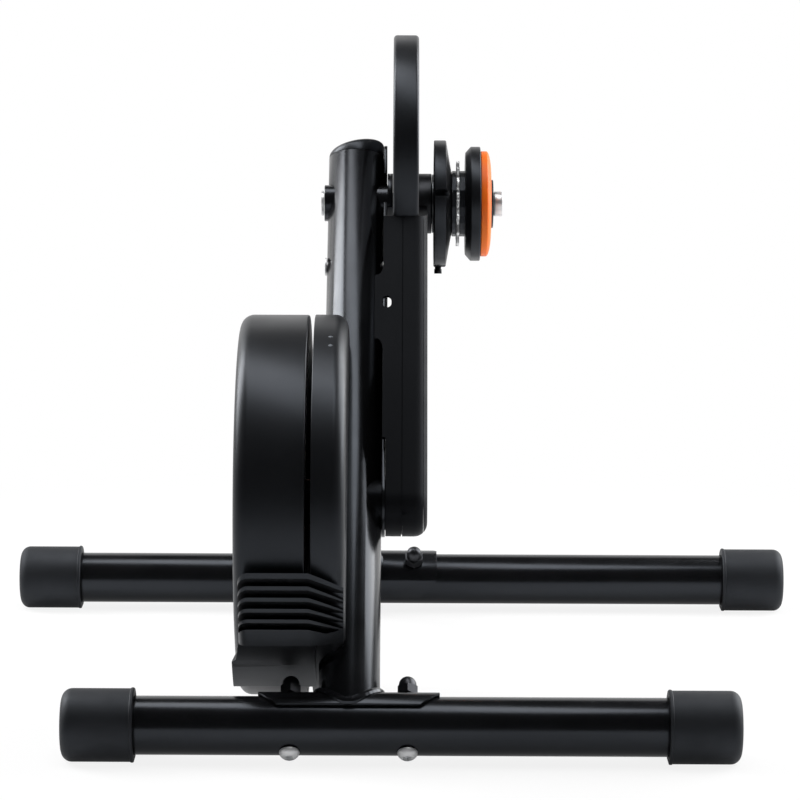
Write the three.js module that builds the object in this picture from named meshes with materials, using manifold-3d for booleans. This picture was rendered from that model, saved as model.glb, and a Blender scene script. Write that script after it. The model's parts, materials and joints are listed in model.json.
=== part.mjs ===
// Direct drive bike trainer. One leaning tube on two cross legs carries a belt driven flywheel
// on its left side and a hub with a single cog on its right side.
// Lengths are in millimetres and angles in degrees. +X points to the drive side, +Y forward
// and +Z up. The origin lies on the floor, midway between the legs.

import * as THREE from 'three';
import { mergeVertices } from 'three/addons/utils/BufferGeometryUtils.js';
import Module from 'manifold-3d';

const wasm = await Module();
wasm.setup();

// Clearances, and how far a cutting body runs past what it cuts
const seatGap = 0.3;
const overrun = 2;
const turnGap = 1;

// Sides of round bodies, and of the curves in outlines
const largeSides = 40;
const middleSides = 24;
const smallSides = 16;
const boltSides = 12;
const pinSides = 10;
const curveSides = 12;
const bandCurveSides = 10;
const smallCurveSides = 6;
const tinyCurveSides = 4;

// Legs and their end caps
const leg = { diameter: 38.1, wall: 2, spacing: 450, rearReach: 439, frontReach: 589 };
const foot = { wall: 5, length: 47, endWall: 6, edgeRound: 7, lip: 2.4, lipRise: 0.6, flat: 1.7 };

// Main tube, measured along its centre line from the rear leg, and the strut that props it
const tube = {
  diameter: 40, wall: 2.5, offset: -34, lean: 45, length: 475, endTilt: 24,
  wheelClear: 44.5, boltAt: 376, axleAt: 434,
};
const strut = { diameter: 32, wall: 2.5, housingClear: 45.3 };
const endCap = { thickness: 4.8, round: 2.6, crown: 0.6, slope: 9, plug: 16, plugWall: 2.5 };

// Saddles that clamp the tube and the strut on the legs
const saddle = { wall: 2.5, halfAngle: 80, chamfer: 12.5, bead: 3.2 };
const rearSaddle = { length: 117.5, boltSpacing: 76 };
const frontSaddle = { length: 122, boltSpacing: 87 };
const legBolt = {
  shank: 8, head: 13.2, headHeight: 4.6, rim: 1.6, crownShare: 0.8, socket: 5, socketDepth: 2.6,
};
const acornNut = {
  flats: 13, hexHeight: 6.5, height: 14.5, crownRadius: 5.8, crownShare: 0.7, bottom: 1.2,
};

// Drive side plate on the tube, and the bolt through both
const plate = { thickness: 2.1, endRadius: 22, halfWidth: 18, taper: 60, corner: 9, topInset: 6 };
const crossBolt = { shank: 8, head: 13, headHeight: 1.4, boss: 12.6, bossHeight: 2.2 };

// Cross sleeves that hold the axle and the flywheel bearings
const axleSleeve = { diameter: 26, proud: 2.8, flange: 43, flangeWidth: 3.7 };
const wheelSleeve = { diameter: 34, flange: 37, lip: 2.2 };

// Belt drive
const belt = { ribs: 4, pitch: 2.34, ribDepth: 1.6, backing: 1.5, gap: 0.7 };
const bigPulley = { radius: 60, rim: 5, web: 5, holes: 6, holeRadius: 9, holeAt: 38.5 };
const smallPulley = { radius: 12.5, boss: 9 };
const pulleyFlange = { width: 0.82, rise: 2.4 };

// Belt covers and the handle hood above them
const cover = {
  wall: 2.5, bigGap: 4.5, endRadius: 21.4, outerStep: 6.2, edgeRound: 9, roof: 2.5, hubGap: 1,
  seamShare: 0.394, frontRelief: 7,
};
const coverTab = {
  from: 108, to: 163, reach: 8.2, fillet: 7, filletShare: 0.6, corner: 2, thickness: 2.6,
  hole: 6, holeLength: 9, holeAt: 136, holeInset: 0.8,
};
const hood = { top: 120.6, edgeRound: 2.6, slotInner: 70, slotOuter: 100, slotHalfAngle: 26 };
const pillar = { radius: 5, lowerAt: 80, upperAt: 150 };
const coverScrew = { shank: 3.6, head: 8.4, headHeight: 2.4, grip: 12, socket: 2.6, socketDepth: 1.2 };

// Hub axle, its bearings and the freehub
const axle = {
  diameter: 15, bore: 12.2, seat: 18, leftSeat: 1.8, endInset: 10.9, standOff: 2.2, rightSeat: 6, edge: 0.6,
};
const hub = { diameter: 43, proud: 3.3, shoulder: 12.5 };
const hubBearing = { outer: 28, width: 7, lip: 0.4, spacing: 3 };
const clutch = { outer: 37, inner: 29.6, width: 8.8 };
const freehub = {
  splines: 9, tip: 34.5, root: 32, spigot: 29, flange: 42, flangeWidth: 1.1, splineShare: 0.5,
};
const freehubBearing = { outer: 24, width: 5, lip: 0.6 };

// Cog and what is stacked beside it on the freehub
const cog = {
  teeth: 14, pitch: 12.7, roller: 7.94, thickness: 2.2, tip: 61.4, tipShare: 0.11,
  seatSpread: 62, seatSteps: 4,
};
const cogSpacer = { diameter: 47.3, innerWidth: 2.6, outerWidth: 3.7 };
const innerGuide = {
  diameter: 91, width: 12.8, rim: 8.5, faceDiameter: 46.6, wall: 3, edge: 0.6,
  notches: 4, notchWidth: 4.8, notchDepth: 9, notchAngle: 16,
  nubReach: 5.4, nubGap: 1.8, nubWidth: 6, nubDepth: 5.2, neckDepth: 2, nubAngle: -82,
};
const outerGuide = {
  diameter: 82, width: 10.7, chamfer: 4, edge: 1, grooveFrom: 50, grooveTo: 72, grooveDepth: 3,
};
const cogCover = { diameter: 75.6, rim: 3.9, height: 7.5, bore: 35.6, land: 44, wall: 2 };
const lockRing = { diameter: 34.8, thread: 29.2, threadLength: 5.4, proud: 1.6, bore: 16.8, edge: 0.5 };

// Flywheel, its shaft and bearings
const flywheel = {
  diameter: 256, width: 46.3, round: 9, innerRound: 1.5, rim: 21, web: 6.3, hub: 32, hubDepth: 4,
  dish: 4, dishFrom: 68, dishRim: 30, nutPocket: 28, nutDepth: 3.9,
};
const shaft = { diameter: 12, collar: 17, collarWidth: 2, rightProud: 5.8 };
const wheelBearing = { outer: 28, width: 8, lip: 0.3, shoulder: 12.5 };
const wheelNut = { flats: 18, height: 6.6 };
const pulleyNut = { flats: 16, height: 5.4 };

// Brake magnet inside the flywheel
const magnet = {
  poles: 6, width: 19, left: 3, hub: 54, pole: 16, tipGap: 9, shoe: 44, shoeDepth: 7,
  coil: 31, coilFrom: 39, coilGap: 4, coilProud: 1.4,
};

// Electronics cover beside the flywheel, and what it holds
const housing = { runGap: 3.7, sideGap: 4.9, rise: 0.2, width: 25.3, wall: 2.4, round: 9, back: 1.7 };
const board = { along: 90, across: 50, thickness: 1.6, inset: 54, parts: 12, sink: 0.5 };

// Parts on the board: where they sit and how large they are, as shares of the board
const boardShares = [
  { alongAt: -0.3, acrossAt: 0.1, along: 0.22, across: 0.36, height: 0.75 },
  { alongAt: 0.08, acrossAt: -0.2, along: 0.13, across: 0.24, height: 0.25 },
  { alongAt: 0.33, acrossAt: 0.15, along: 0.16, across: 0.48, height: 1 },
];
const light = { diameter: 3, inset: 15, firstAngle: 19.5, secondAngle: 24.5, strip: 3, width: 4, end: 3 };
const socket = {
  diameter: 11, collar: 15, collarHeight: 1.6, depth: 15, bore: 5.6, boreDepth: 9, pin: 1.9,
  angle: 105, inset: 12.4,
};

// Guard over the rear of the flywheel, and the ribbed block above it
const guard = { wheelGap: 1.5, outside: 1.7, overlap: 3, thickness: 2.4, from: 35.5, to: 59.9 };
const fins = {
  leftInset: 3.6, rightInset: 3.9, bendBack: 1.1,
  rise: 11.6, rightRise: 2.4, rootRise: 3, rightRootRise: 1.3, round: 6.8,
  from: 60.2, to: 82.7, count: 6, pitch: 3.3, firstShare: 0.78, tilt: 37, gap: 2.2,
  lipAngle: 62.2, lipGroove: 0.9, lipDepth: 1.4, solid: 2.8,
};

// Finishes as colour, roughness and metalness
const finishes = {
  blackPaint: [0x151617, 0.32, 0.35],
  blackPlastic: [0x1b1c1e, 0.5, 0],
  wheelPaint: [0x1a1b1d, 0.38, 0.45],
  darkRubber: [0x131313, 0.7, 0],
  blackOxide: [0x1e1f21, 0.36, 0.8],
  brightSteel: [0xb9bbbd, 0.28, 1],
  rawSteel: [0x84878b, 0.35, 1],
  orangePlastic: [0xff5a14, 0.42, 0],
  copper: [0xb3602f, 0.4, 0.9],
  circuitGreen: [0x1d5a35, 0.5, 0],
  clearLight: [0xdfe6ea, 0.2, 0],
};

function paint(name) {
  const [color, roughness, metalness] = finishes[name];
  return new THREE.MeshStandardMaterial({ name, color, roughness, metalness });
}

// Angles, and places round the X axis counted from +Y towards +Z
const radians = THREE.MathUtils.degToRad;
const quarter = 90;
const halfTurn = 180;
const fullTurn = 360;
const sine = (angle) => Math.sin(radians(angle));
const cosine = (angle) => Math.cos(radians(angle));

// Lathes and extrusions are made along their own axis and then laid along X or Z
const spinToX = new THREE.Matrix4().set(0, 1, 0, 0, 0, 0, 1, 0, 1, 0, 0, 0, 0, 0, 0, 1);
const pullToX = new THREE.Matrix4().set(0, 0, 1, 0, 1, 0, 0, 0, 0, 1, 0, 0, 0, 0, 0, 1);

// One closed body: shared corners merged, slivers dropped, faces pointing out
function closed(geometry) {
  const bare = new THREE.BufferGeometry();
  bare.setAttribute('position', geometry.getAttribute('position'));
  bare.setIndex(geometry.getIndex());
  const merged = mergeVertices(bare, 1e-4);
  const corners = merged.getIndex().array;
  const kept = [];
  for (let i = 0; i < corners.length; i += 3) {
    const [a, b, c] = [corners[i], corners[i + 1], corners[i + 2]];
    if (a !== b && b !== c && c !== a) kept.push(a, b, c);
  }
  merged.setIndex(kept);
  if (volumeOf(merged) < 0) kept.reverse();
  merged.setIndex(kept);
  return merged;
}

function volumeOf(geometry) {
  const place = geometry.getAttribute('position');
  const corners = geometry.getIndex().array;
  const [a, b, c] = [new THREE.Vector3(), new THREE.Vector3(), new THREE.Vector3()];
  let total = 0;
  for (let i = 0; i < corners.length; i += 3) {
    a.fromBufferAttribute(place, corners[i]);
    b.fromBufferAttribute(place, corners[i + 1]);
    c.fromBufferAttribute(place, corners[i + 2]);
    total += a.dot(b.cross(c)) / 6;
  }
  return total;
}

function toManifold(geometry) {
  return new wasm.Manifold(new wasm.Mesh({
    numProp: 3,
    vertProperties: new Float32Array(geometry.getAttribute('position').array),
    triVerts: new Uint32Array(geometry.getIndex().array),
  }));
}

function fromManifold(solid) {
  const mesh = solid.getMesh();
  const geometry = new THREE.BufferGeometry();
  geometry.setAttribute('position', new THREE.BufferAttribute(mesh.vertProperties, 3));
  geometry.setIndex(new THREE.BufferAttribute(mesh.triVerts, 1));
  return geometry;
}

function cut(body, ...tools) {
  return fromManifold(tools.reduce((left, tool) => left.subtract(toManifold(tool)), toManifold(body)));
}

function join(body, ...others) {
  return fromManifold(others.reduce((whole, other) => whole.add(toManifold(other)), toManifold(body)));
}

function common(body, other) {
  return fromManifold(toManifold(body).intersect(toManifold(other)));
}

// A closed profile of [place along the axis, radius] corners, turned about X or about Z
function turned(profile, sides, laid = spinToX) {
  const points = profile.map(([along, radius]) => new THREE.Vector2(radius, along));
  points.push(points[0].clone());
  return closed(new THREE.LatheGeometry(points, sides).applyMatrix4(laid));
}

function turnedUp(profile, sides) {
  return turned(profile, sides, spinToX).rotateY(-Math.PI / 2);
}

function rod(radius, from, to, sides = middleSides) {
  return turned([[from, 0], [from, radius], [to, radius], [to, 0]], sides);
}

function post(radius, from, to, sides = middleSides) {
  return turnedUp([[from, 0], [from, radius], [to, radius], [to, 0]], sides);
}

function pipe(inner, outer, from, to, sides = middleSides) {
  return turned([[from, inner], [from, outer], [to, outer], [to, inner]], sides);
}

// Corners along an arc of a profile, centred at [along, radius]
function bend(along, radius, size, fromAngle, toAngle, steps = 3) {
  const corners = [];
  for (let i = 0; i <= steps; i += 1) {
    const angle = fromAngle + (toAngle - fromAngle) * i / steps;
    corners.push([along + size * cosine(angle), radius + size * sine(angle)]);
  }
  return corners;
}

// A flat outline in (y, z) pulled from one X to another, with its edges rounded if asked
function pulled(shape, from, to, round = 0, curveSegments = curveSides) {
  const geometry = new THREE.ExtrudeGeometry(shape, {
    depth: to - from - 2 * round,
    bevelEnabled: round > 0,
    bevelThickness: round,
    bevelSize: round,
    bevelOffset: -round,
    bevelSegments: 2,
    curveSegments,
  });
  return closed(geometry.applyMatrix4(pullToX)).translate(from + round, 0, 0);
}

function block(sizeX, sizeY, sizeZ) {
  return closed(new THREE.BoxGeometry(sizeX, sizeY, sizeZ));
}

// A hexagonal bar along Z, measured across its flats
function hexBar(flats, from, to) {
  return post(flats / 2 / cosine(quarter / 3), from, to, 6);
}

// A section swept round a closed path: place(step, corner) gives each point
function closedSweep(steps, corners, place) {
  const points = [];
  const faces = [];
  for (let step = 0; step < steps; step += 1) {
    for (let corner = 0; corner < corners; corner += 1) {
      points.push(...place(step, corner));
      const next = (step + 1) % steps;
      const beside = (corner + 1) % corners;
      const [a, b] = [step * corners + corner, step * corners + beside];
      const [c, d] = [next * corners + beside, next * corners + corner];
      faces.push(a, b, c, a, c, d);
    }
  }
  const geometry = new THREE.BufferGeometry();
  geometry.setAttribute('position', new THREE.Float32BufferAttribute(points, 3));
  geometry.setIndex(faces);
  return closed(geometry);
}

function piece(group, name, geometry, finish) {
  const mesh = new THREE.Mesh(geometry, paint(finish));
  mesh.name = name;
  group.add(mesh);
  return mesh;
}

// Places that follow from the sizes above
const legRadius = leg.diameter / 2;
const footInner = legRadius + seatGap;
const footRadius = footInner + foot.wall;
const legHeight = footRadius - foot.flat;
const tubeRadius = tube.diameter / 2;
const saddleInner = legRadius + seatGap;
const saddleOuter = saddleInner + saddle.wall;

// The shaft of the flywheel sits far enough up the tube for the wheel to clear the rear leg
const flywheelAt = flywheel.diameter / 2 + tube.wheelClear;

// Stack along X, from the tube outwards on the drive side
const tubeLeft = tube.offset - tubeRadius;
const tubeRight = tube.offset + tubeRadius;
const plateLeft = tubeRight + seatGap;
const plateRight = plateLeft + plate.thickness;
const flangeLeft = plateRight + seatGap;
const flangeRight = flangeLeft + axleSleeve.flangeWidth;
const hoodLeft = flangeRight + seatGap;
const cavityLeft = hoodLeft + cover.wall;
const rimLeft = cavityLeft + turnGap;
const grooveLeft = rimLeft + pulleyFlange.width;
const grooveRight = grooveLeft + belt.ribs * belt.pitch;
const rimRight = grooveRight + pulleyFlange.width;
const cavityRight = rimRight + turnGap;
const hoodRight = cavityRight + cover.wall;
const coverLeft = flangeLeft;
const coverRight = hoodRight + cover.outerStep;
const seam = coverLeft + cover.seamShare * (coverRight - coverLeft);
const hubLeft = hoodLeft;
const hubRight = coverRight + hub.proud;
const freehubFlangeRight = hubRight + seatGap + freehub.flangeWidth;
const guideLeft = freehubFlangeRight + seatGap;
const innerSpacerLeft = guideLeft + innerGuide.width + seatGap;
const cogLeft = innerSpacerLeft + cogSpacer.innerWidth + seatGap;
const outerSpacerLeft = cogLeft + cog.thickness + seatGap;
const outerGuideLeft = outerSpacerLeft + cogSpacer.outerWidth + seatGap;
const outerGuideRight = outerGuideLeft + outerGuide.width;
const lockRingLeft = outerGuideRight + seatGap;
const cogCoverRight = lockRingLeft + cogCover.height;
const axleEndLeft = cogCoverRight - axle.endInset;
const rightSeatLeft = cogCoverRight + axle.standOff;

// Stack along X on the flywheel side
const housingLeft = tubeLeft - housing.sideGap;
const housingRight = housingLeft + housing.width;
const housingRadius = flywheel.diameter / 2 + housing.rise;
const wheelRight = housingLeft - housing.runGap;
const wheelLeft = wheelRight - flywheel.width;
const webLeft = wheelLeft + flywheel.dish;
const webRight = webLeft + flywheel.web;
const wheelHubRight = webRight + flywheel.hubDepth;
const sleeveLeft = wheelHubRight + wheelSleeve.lip;
const backRight = housingLeft + housing.back;
const guardLeft = wheelLeft - guard.outside;
const finsLeft = wheelLeft + fins.leftInset;
const finsRight = housingRight - fins.rightInset;
const finsRadius = housingRadius + fins.rise;
const onHousing = housingRadius + seatGap;
const overWheel = flywheel.diameter / 2 + guard.wheelGap;

// Belt geometry: how far the straight runs splay from the line of the shafts
const shaftSpacing = tube.axleAt - flywheelAt;
const splayOf = (big, small) => THREE.MathUtils.radToDeg(Math.asin((big - small) / shaftSpacing));
const coverRadius = bigPulley.radius + cover.bigGap + cover.wall;

// The strut leans so that its centre line meets that of the main tube above the housing
const strutJoinsAt = flywheelAt + housingRadius + strut.housingClear;
const strutLean = THREE.MathUtils.radToDeg(Math.atan2(
  strutJoinsAt * sine(tube.lean),
  leg.spacing - strutJoinsAt * cosine(tube.lean),
));

// Frames of the scene graph: legs, the seats on them, the flywheel shaft and the hub axle
const trainer = new THREE.Group();
trainer.name = 'direct_drive_trainer';
const rearLeg = new THREE.Group();
rearLeg.position.set(0, -leg.spacing / 2, legHeight);
const frontLeg = new THREE.Group();
frontLeg.position.set(0, leg.spacing / 2, legHeight);
const tubeFrame = new THREE.Group();
tubeFrame.position.set(tube.offset, 0, 0);
tubeFrame.rotation.x = radians(tube.lean - quarter);
const strutFrame = new THREE.Group();
strutFrame.position.set(tube.offset, 0, 0);
strutFrame.rotation.x = radians(quarter - strutLean);
rearLeg.add(tubeFrame);
frontLeg.add(strutFrame);
const shaftFrame = new THREE.Group();
shaftFrame.position.set(0, flywheelAt * cosine(tube.lean), flywheelAt * sine(tube.lean));
const axleFrame = new THREE.Group();
axleFrame.position.set(0, tube.axleAt * cosine(tube.lean), tube.axleAt * sine(tube.lean));
rearLeg.add(shaftFrame, axleFrame);
trainer.add(rearLeg, frontLeg);

// Cross leg: a tube with a pair of bolt holes along the line of what it carries
function legTube(reach, boltSpacing, boltTurn) {
  const end = reach / 2 - foot.endWall - seatGap;
  const reachOut = legRadius + overrun;
  const holes = [-1, 1].map((side) => post(legBolt.shank / 2 + seatGap, -reachOut, reachOut, boltSides)
    .rotateX(boltTurn)
    .translate(tube.offset + side * boltSpacing / 2, 0, 0));
  return cut(pipe(legRadius - leg.wall, legRadius, -end, end), ...holes);
}

// Round end cap with a lip at its open end and a narrow flat that stands on the floor
function footCap() {
  const bodyRadius = footRadius - foot.lipRise;
  const inside = foot.length - foot.endWall;
  const profile = [
    [0, footInner], [inside, footInner], [inside, 0], [foot.length, 0],
    ...bend(foot.length - foot.edgeRound, bodyRadius - foot.edgeRound, foot.edgeRound, 0, quarter),
    [foot.lip, bodyRadius], [foot.lip, footRadius], [0, footRadius],
  ];
  const floor = block(foot.length + 2 * overrun, 2 * footRadius, overrun)
    .translate(foot.length / 2, 0, -legHeight - overrun / 2);
  return cut(turned(profile, middleSides), floor);
}

function addLeg(group, name, reach, seat, turn) {
  piece(group, `${name}_leg`, legTube(reach, seat.boltSpacing, turn), 'blackPaint');
  const openEnd = reach / 2 - foot.length;
  const right = piece(group, `${name}_foot_right`, footCap(), 'darkRubber');
  right.position.x = openEnd;
  const left = piece(group, `${name}_foot_left`, footCap(), 'darkRubber');
  left.position.x = -openEnd;
  left.rotation.z = Math.PI;
}

// Saddle: a bent sheet over the leg, its corners cut off, with the weld bead of its tube
function saddleSheet(length) {
  const shape = new THREE.Shape();
  const [from, to] = [quarter - saddle.halfAngle, quarter + saddle.halfAngle].map(radians);
  shape.absarc(0, 0, saddleOuter, from, to, false);
  shape.absarc(0, 0, saddleInner, to, from, true);
  const sheet = pulled(shape, -length / 2, length / 2, 0, bandCurveSides);
  const edge = saddleOuter * cosine(saddle.halfAngle);
  const corners = [-1, 1].map((side) => {
    const inner = length / 2 - saddle.chamfer - overrun;
    const outer = length / 2 + overrun;
    const triangle = new THREE.Shape([
      new THREE.Vector2(side * inner, edge - overrun),
      new THREE.Vector2(side * outer, edge - overrun),
      new THREE.Vector2(side * outer, edge + saddle.chamfer + overrun),
    ]);
    const depth = 2 * (saddleOuter + overrun);
    return closed(new THREE.ExtrudeGeometry(triangle, { depth, bevelEnabled: false }))
      .rotateX(Math.PI / 2)
      .translate(0, depth / 2, 0);
  });
  return cut(sheet, ...corners);
}

function weldBead(radius) {
  const steps = 20;
  const corners = 6;
  const path = radius + saddle.bead / 3;
  return closedSweep(steps, corners, (step, corner) => {
    const around = fullTurn * step / steps;
    const across = fullTurn * corner / corners;
    const [x, y] = [path * cosine(around), path * sine(around)];
    const z = Math.sqrt(saddleOuter ** 2 - Math.min(Math.abs(y), saddleOuter - seatGap) ** 2);
    const out = 1 + saddle.bead * cosine(across) / path;
    return [x * out, y * out, z + saddle.bead * sine(across)];
  });
}

function saddleWithBead(seat, radius) {
  const length = seat.length / 2;
  const reach = saddleOuter + tube.diameter;
  const bead = cut(
    weldBead(radius),
    post(radius + seatGap, -overrun, reach),
    rod(saddleInner, -length, length),
  );
  const holes = [-1, 1].map((side) => post(legBolt.shank / 2 + seatGap, 0, reach, boltSides)
    .translate(side * seat.boltSpacing / 2, 0, 0));
  return cut(join(saddleSheet(seat.length), bead), ...holes);
}

// Button head bolt through the leg, and the acorn nut on the saddle
function buttonBolt() {
  const under = -legRadius - seatGap;
  const top = under - legBolt.headHeight;
  const headRadius = legBolt.head / 2;
  const shankEnd = saddleOuter + seatGap + acornNut.hexHeight;
  const profile = [
    [shankEnd, 0], [shankEnd, legBolt.shank / 2], [under, legBolt.shank / 2], [under, headRadius],
    [under - legBolt.rim, headRadius], [top + legBolt.rim / 2, headRadius * legBolt.crownShare],
    [top, headRadius / 2], [top, 0],
  ];
  const hexagon = hexBar(legBolt.socket, top - overrun, top + legBolt.socketDepth);
  return cut(turnedUp(profile, boltSides), hexagon);
}

function acorn() {
  const base = saddleOuter + seatGap;
  const shoulder = base + acornNut.hexHeight;
  const top = base + acornNut.height;
  const { crownRadius, crownShare } = acornNut;
  const crown = turnedUp([
    [base, 0], [base, crownRadius], [top - crownRadius, crownRadius],
    [top - crownRadius * (1 - crownShare), crownRadius * crownShare], [top, 0],
  ], boltSides);
  const bored = post(legBolt.shank / 2 + seatGap, base - overrun, shoulder + acornNut.bottom, boltSides);
  return cut(join(hexBar(acornNut.flats, base, shoulder), crown), bored);
}

function addSeat(group, name, seat, radius) {
  piece(group, `${name}_saddle`, saddleWithBead(seat, radius), 'blackPaint');
  for (const [side, place] of [['left', -1], ['right', 1]]) {
    piece(group, `${name}_bolt_${side}`, buttonBolt(), 'brightSteel').position.x = place * seat.boltSpacing / 2;
    piece(group, `${name}_nut_${side}`, acorn(), 'blackOxide').position.x = place * seat.boltSpacing / 2;
  }
}

// What lies beyond the slanted top end of the main tube
function beyondEnd(shift) {
  const size = 4 * tube.diameter;
  return block(size, size, size)
    .translate(0, 0, size / 2 + shift)
    .rotateX(radians(tube.endTilt))
    .translate(0, 0, tube.length);
}

function mainTube() {
  const reach = tube.length + tube.diameter;
  const body = turnedUp([
    [0, tubeRadius - tube.wall], [0, tubeRadius], [reach, tubeRadius], [reach, tubeRadius - tube.wall],
  ], middleSides);
  const wide = tubeRadius + overrun;
  return cut(
    body,
    rod(saddleOuter + seatGap, -wide, wide),
    rod(wheelSleeve.diameter / 2 + seatGap, -wide, wide).translate(0, 0, flywheelAt),
    rod(axleSleeve.diameter / 2 + seatGap, -wide, wide).translate(0, 0, tube.axleAt),
    rod(crossBolt.shank / 2 + seatGap, -wide, wide, boltSides).translate(0, 0, tube.boltAt),
    beyondEnd(0),
  );
}

// The top of the cap also slopes up towards the drive side
function tubeEndCap() {
  const { thickness, round, crown, slope } = endCap;
  const wide = tubeRadius + thickness * sine(slope);
  const dome = turnedUp([
    [-wide, 0], [-wide, wide],
    ...bend(thickness - round, wide - round, round, quarter, 0),
    [thickness + crown, wide / 2], [thickness + crown, 0],
  ], middleSides)
    .scale(1, 1 / cosine(tube.endTilt), 1)
    .rotateY(radians(-slope))
    .rotateX(radians(tube.endTilt))
    .translate(0, 0, tube.length);
  const outline = post(tubeRadius, 0, tube.length + tube.diameter);
  const plugRadius = tubeRadius - tube.wall - seatGap;
  const plugFrom = tube.length - endCap.plug;
  const plugTo = tube.length + tube.diameter;
  const plug = turnedUp([
    [plugFrom, plugRadius - endCap.plugWall], [plugFrom, plugRadius],
    [plugTo, plugRadius], [plugTo, plugRadius - endCap.plugWall],
  ], smallSides);
  return join(
    common(common(dome, outline), beyondEnd(seatGap)),
    cut(plug, beyondEnd(thickness / 4)),
  );
}

function strutTube() {
  const radius = strut.diameter / 2;
  const length = leg.spacing * sine(tube.lean) / sine(tube.lean + strutLean);
  const body = turnedUp([
    [0, radius - strut.wall], [0, radius], [length, radius], [length, radius - strut.wall],
  ], middleSides);
  const mainTubeSpace = post(tubeRadius + seatGap, -tube.length, tube.length)
    .rotateX(radians(tube.lean + strutLean - halfTurn))
    .translate(0, 0, length);
  return cut(body, rod(saddleOuter + seatGap, -strut.diameter, strut.diameter), mainTubeSpace);
}

// Plate along the drive side of the tube: a slot lets the axle sleeve through
function sidePlate() {
  const from = tubeRadius + seatGap;
  const to = from + plate.thickness;
  const top = tube.length - plate.topInset;
  const { endRadius, halfWidth, corner } = plate;
  const shape = new THREE.Shape();
  shape.absarc(0, flywheelAt, endRadius, Math.PI, 2 * Math.PI, false);
  shape.lineTo(halfWidth, flywheelAt + plate.taper);
  shape.lineTo(halfWidth, top - corner);
  shape.quadraticCurveTo(halfWidth, top, halfWidth - corner, top);
  shape.lineTo(corner - halfWidth, top);
  shape.quadraticCurveTo(-halfWidth, top, -halfWidth, top - corner);
  shape.lineTo(-halfWidth, flywheelAt + plate.taper);
  const boss = rod(crossBolt.boss / 2, from, to + crossBolt.bossHeight, boltSides).translate(0, 0, tube.boltAt);
  const slotRadius = axleSleeve.diameter / 2 + seatGap;
  const slotDepth = halfWidth + overrun;
  const slot = block(plate.thickness + 2 * overrun, slotDepth, 2 * slotRadius)
    .translate((from + to) / 2, -slotDepth / 2, tube.axleAt);
  return cut(
    join(pulled(shape, from, to, 0, smallCurveSides), boss),
    rod(slotRadius, from - overrun, to + overrun).translate(0, 0, tube.axleAt),
    slot,
    rod(wheelSleeve.diameter / 2 + seatGap, from - overrun, to + overrun).translate(0, 0, flywheelAt),
    rod(crossBolt.shank / 2 + seatGap, from - overrun, to + 2 * overrun, boltSides)
      .translate(0, 0, tube.boltAt),
  );
}

function throughBolt() {
  const under = -tubeRadius - seatGap;
  const top = under - crossBolt.headHeight;
  const end = tubeRadius + seatGap + plate.thickness + crossBolt.bossHeight / 2;
  const shankRadius = crossBolt.shank / 2;
  const headRadius = crossBolt.head / 2;
  return turned([
    [end, 0], [end, shankRadius], [under, shankRadius], [under, headRadius],
    [top + crossBolt.headHeight / 2, headRadius], [top, headRadius / 2], [top, 0],
  ], boltSides).translate(0, 0, tube.boltAt);
}

function addTube(group) {
  addSeat(group, 'rear', rearSaddle, tubeRadius);
  piece(group, 'main_tube', mainTube(), 'blackPaint');
  piece(group, 'tube_end_cap', tubeEndCap(), 'blackPlastic');
  piece(group, 'side_plate', sidePlate(), 'blackPaint');
  piece(group, 'cross_bolt', throughBolt(), 'blackOxide');
}

function addStrut(group) {
  addSeat(group, 'front', frontSaddle, strut.diameter / 2);
  piece(group, 'strut_tube', strutTube(), 'blackPaint');
}

// Sleeve through the tube with a flange that the belt cover seats on
function flangedSleeve(left, outer, flange, inner) {
  return [
    [left, inner], [left, outer], [flangeLeft, outer], [flangeLeft, flange],
    [flangeRight, flange], [flangeRight, inner],
  ];
}

function addAxle(group) {
  const axleRadius = axle.diameter / 2;
  const boreRadius = axle.bore / 2;
  const seatRadius = axle.seat / 2;
  const sleeveFace = tubeLeft - axleSleeve.proud;
  const [outer, flange] = [axleSleeve.diameter / 2, axleSleeve.flange / 2];
  const sleeve = turned(flangedSleeve(sleeveFace, outer, flange, axleRadius + seatGap), middleSides);
  piece(group, 'axle_sleeve', sleeve, 'blackPaint');
  const head = sleeveFace - seatGap;
  piece(group, 'hub_axle', turned([
    [head - axle.leftSeat, boreRadius], [head - axle.leftSeat, seatRadius], [head, seatRadius],
    [head, axleRadius], [axleEndLeft, axleRadius], [axleEndLeft, boreRadius],
  ], middleSides), 'brightSteel');
  const right = rightSeatLeft + axle.rightSeat;
  piece(group, 'drive_side_axle_end', turned([
    [axleEndLeft + seatGap, boreRadius], [axleEndLeft + seatGap, axleRadius],
    [rightSeatLeft, axleRadius], [rightSeatLeft, seatRadius],
    [right - axle.edge, seatRadius], [right, seatRadius - axle.edge], [right, boreRadius],
  ], middleSides), 'brightSteel');
}

// Grooved rim between two flanges, from its right edge to its left edge
function groovedRim(radius) {
  const flange = radius + pulleyFlange.rise;
  const corners = [[rimRight, flange], [grooveRight, flange], [grooveRight, radius]];
  for (let rib = belt.ribs - 1; rib >= 0; rib -= 1) {
    const ridge = grooveLeft + rib * belt.pitch;
    corners.push([ridge + belt.pitch / 2, radius - belt.ribDepth], [ridge, radius]);
  }
  corners.push([grooveLeft, flange], [rimLeft, flange]);
  return corners;
}

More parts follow.
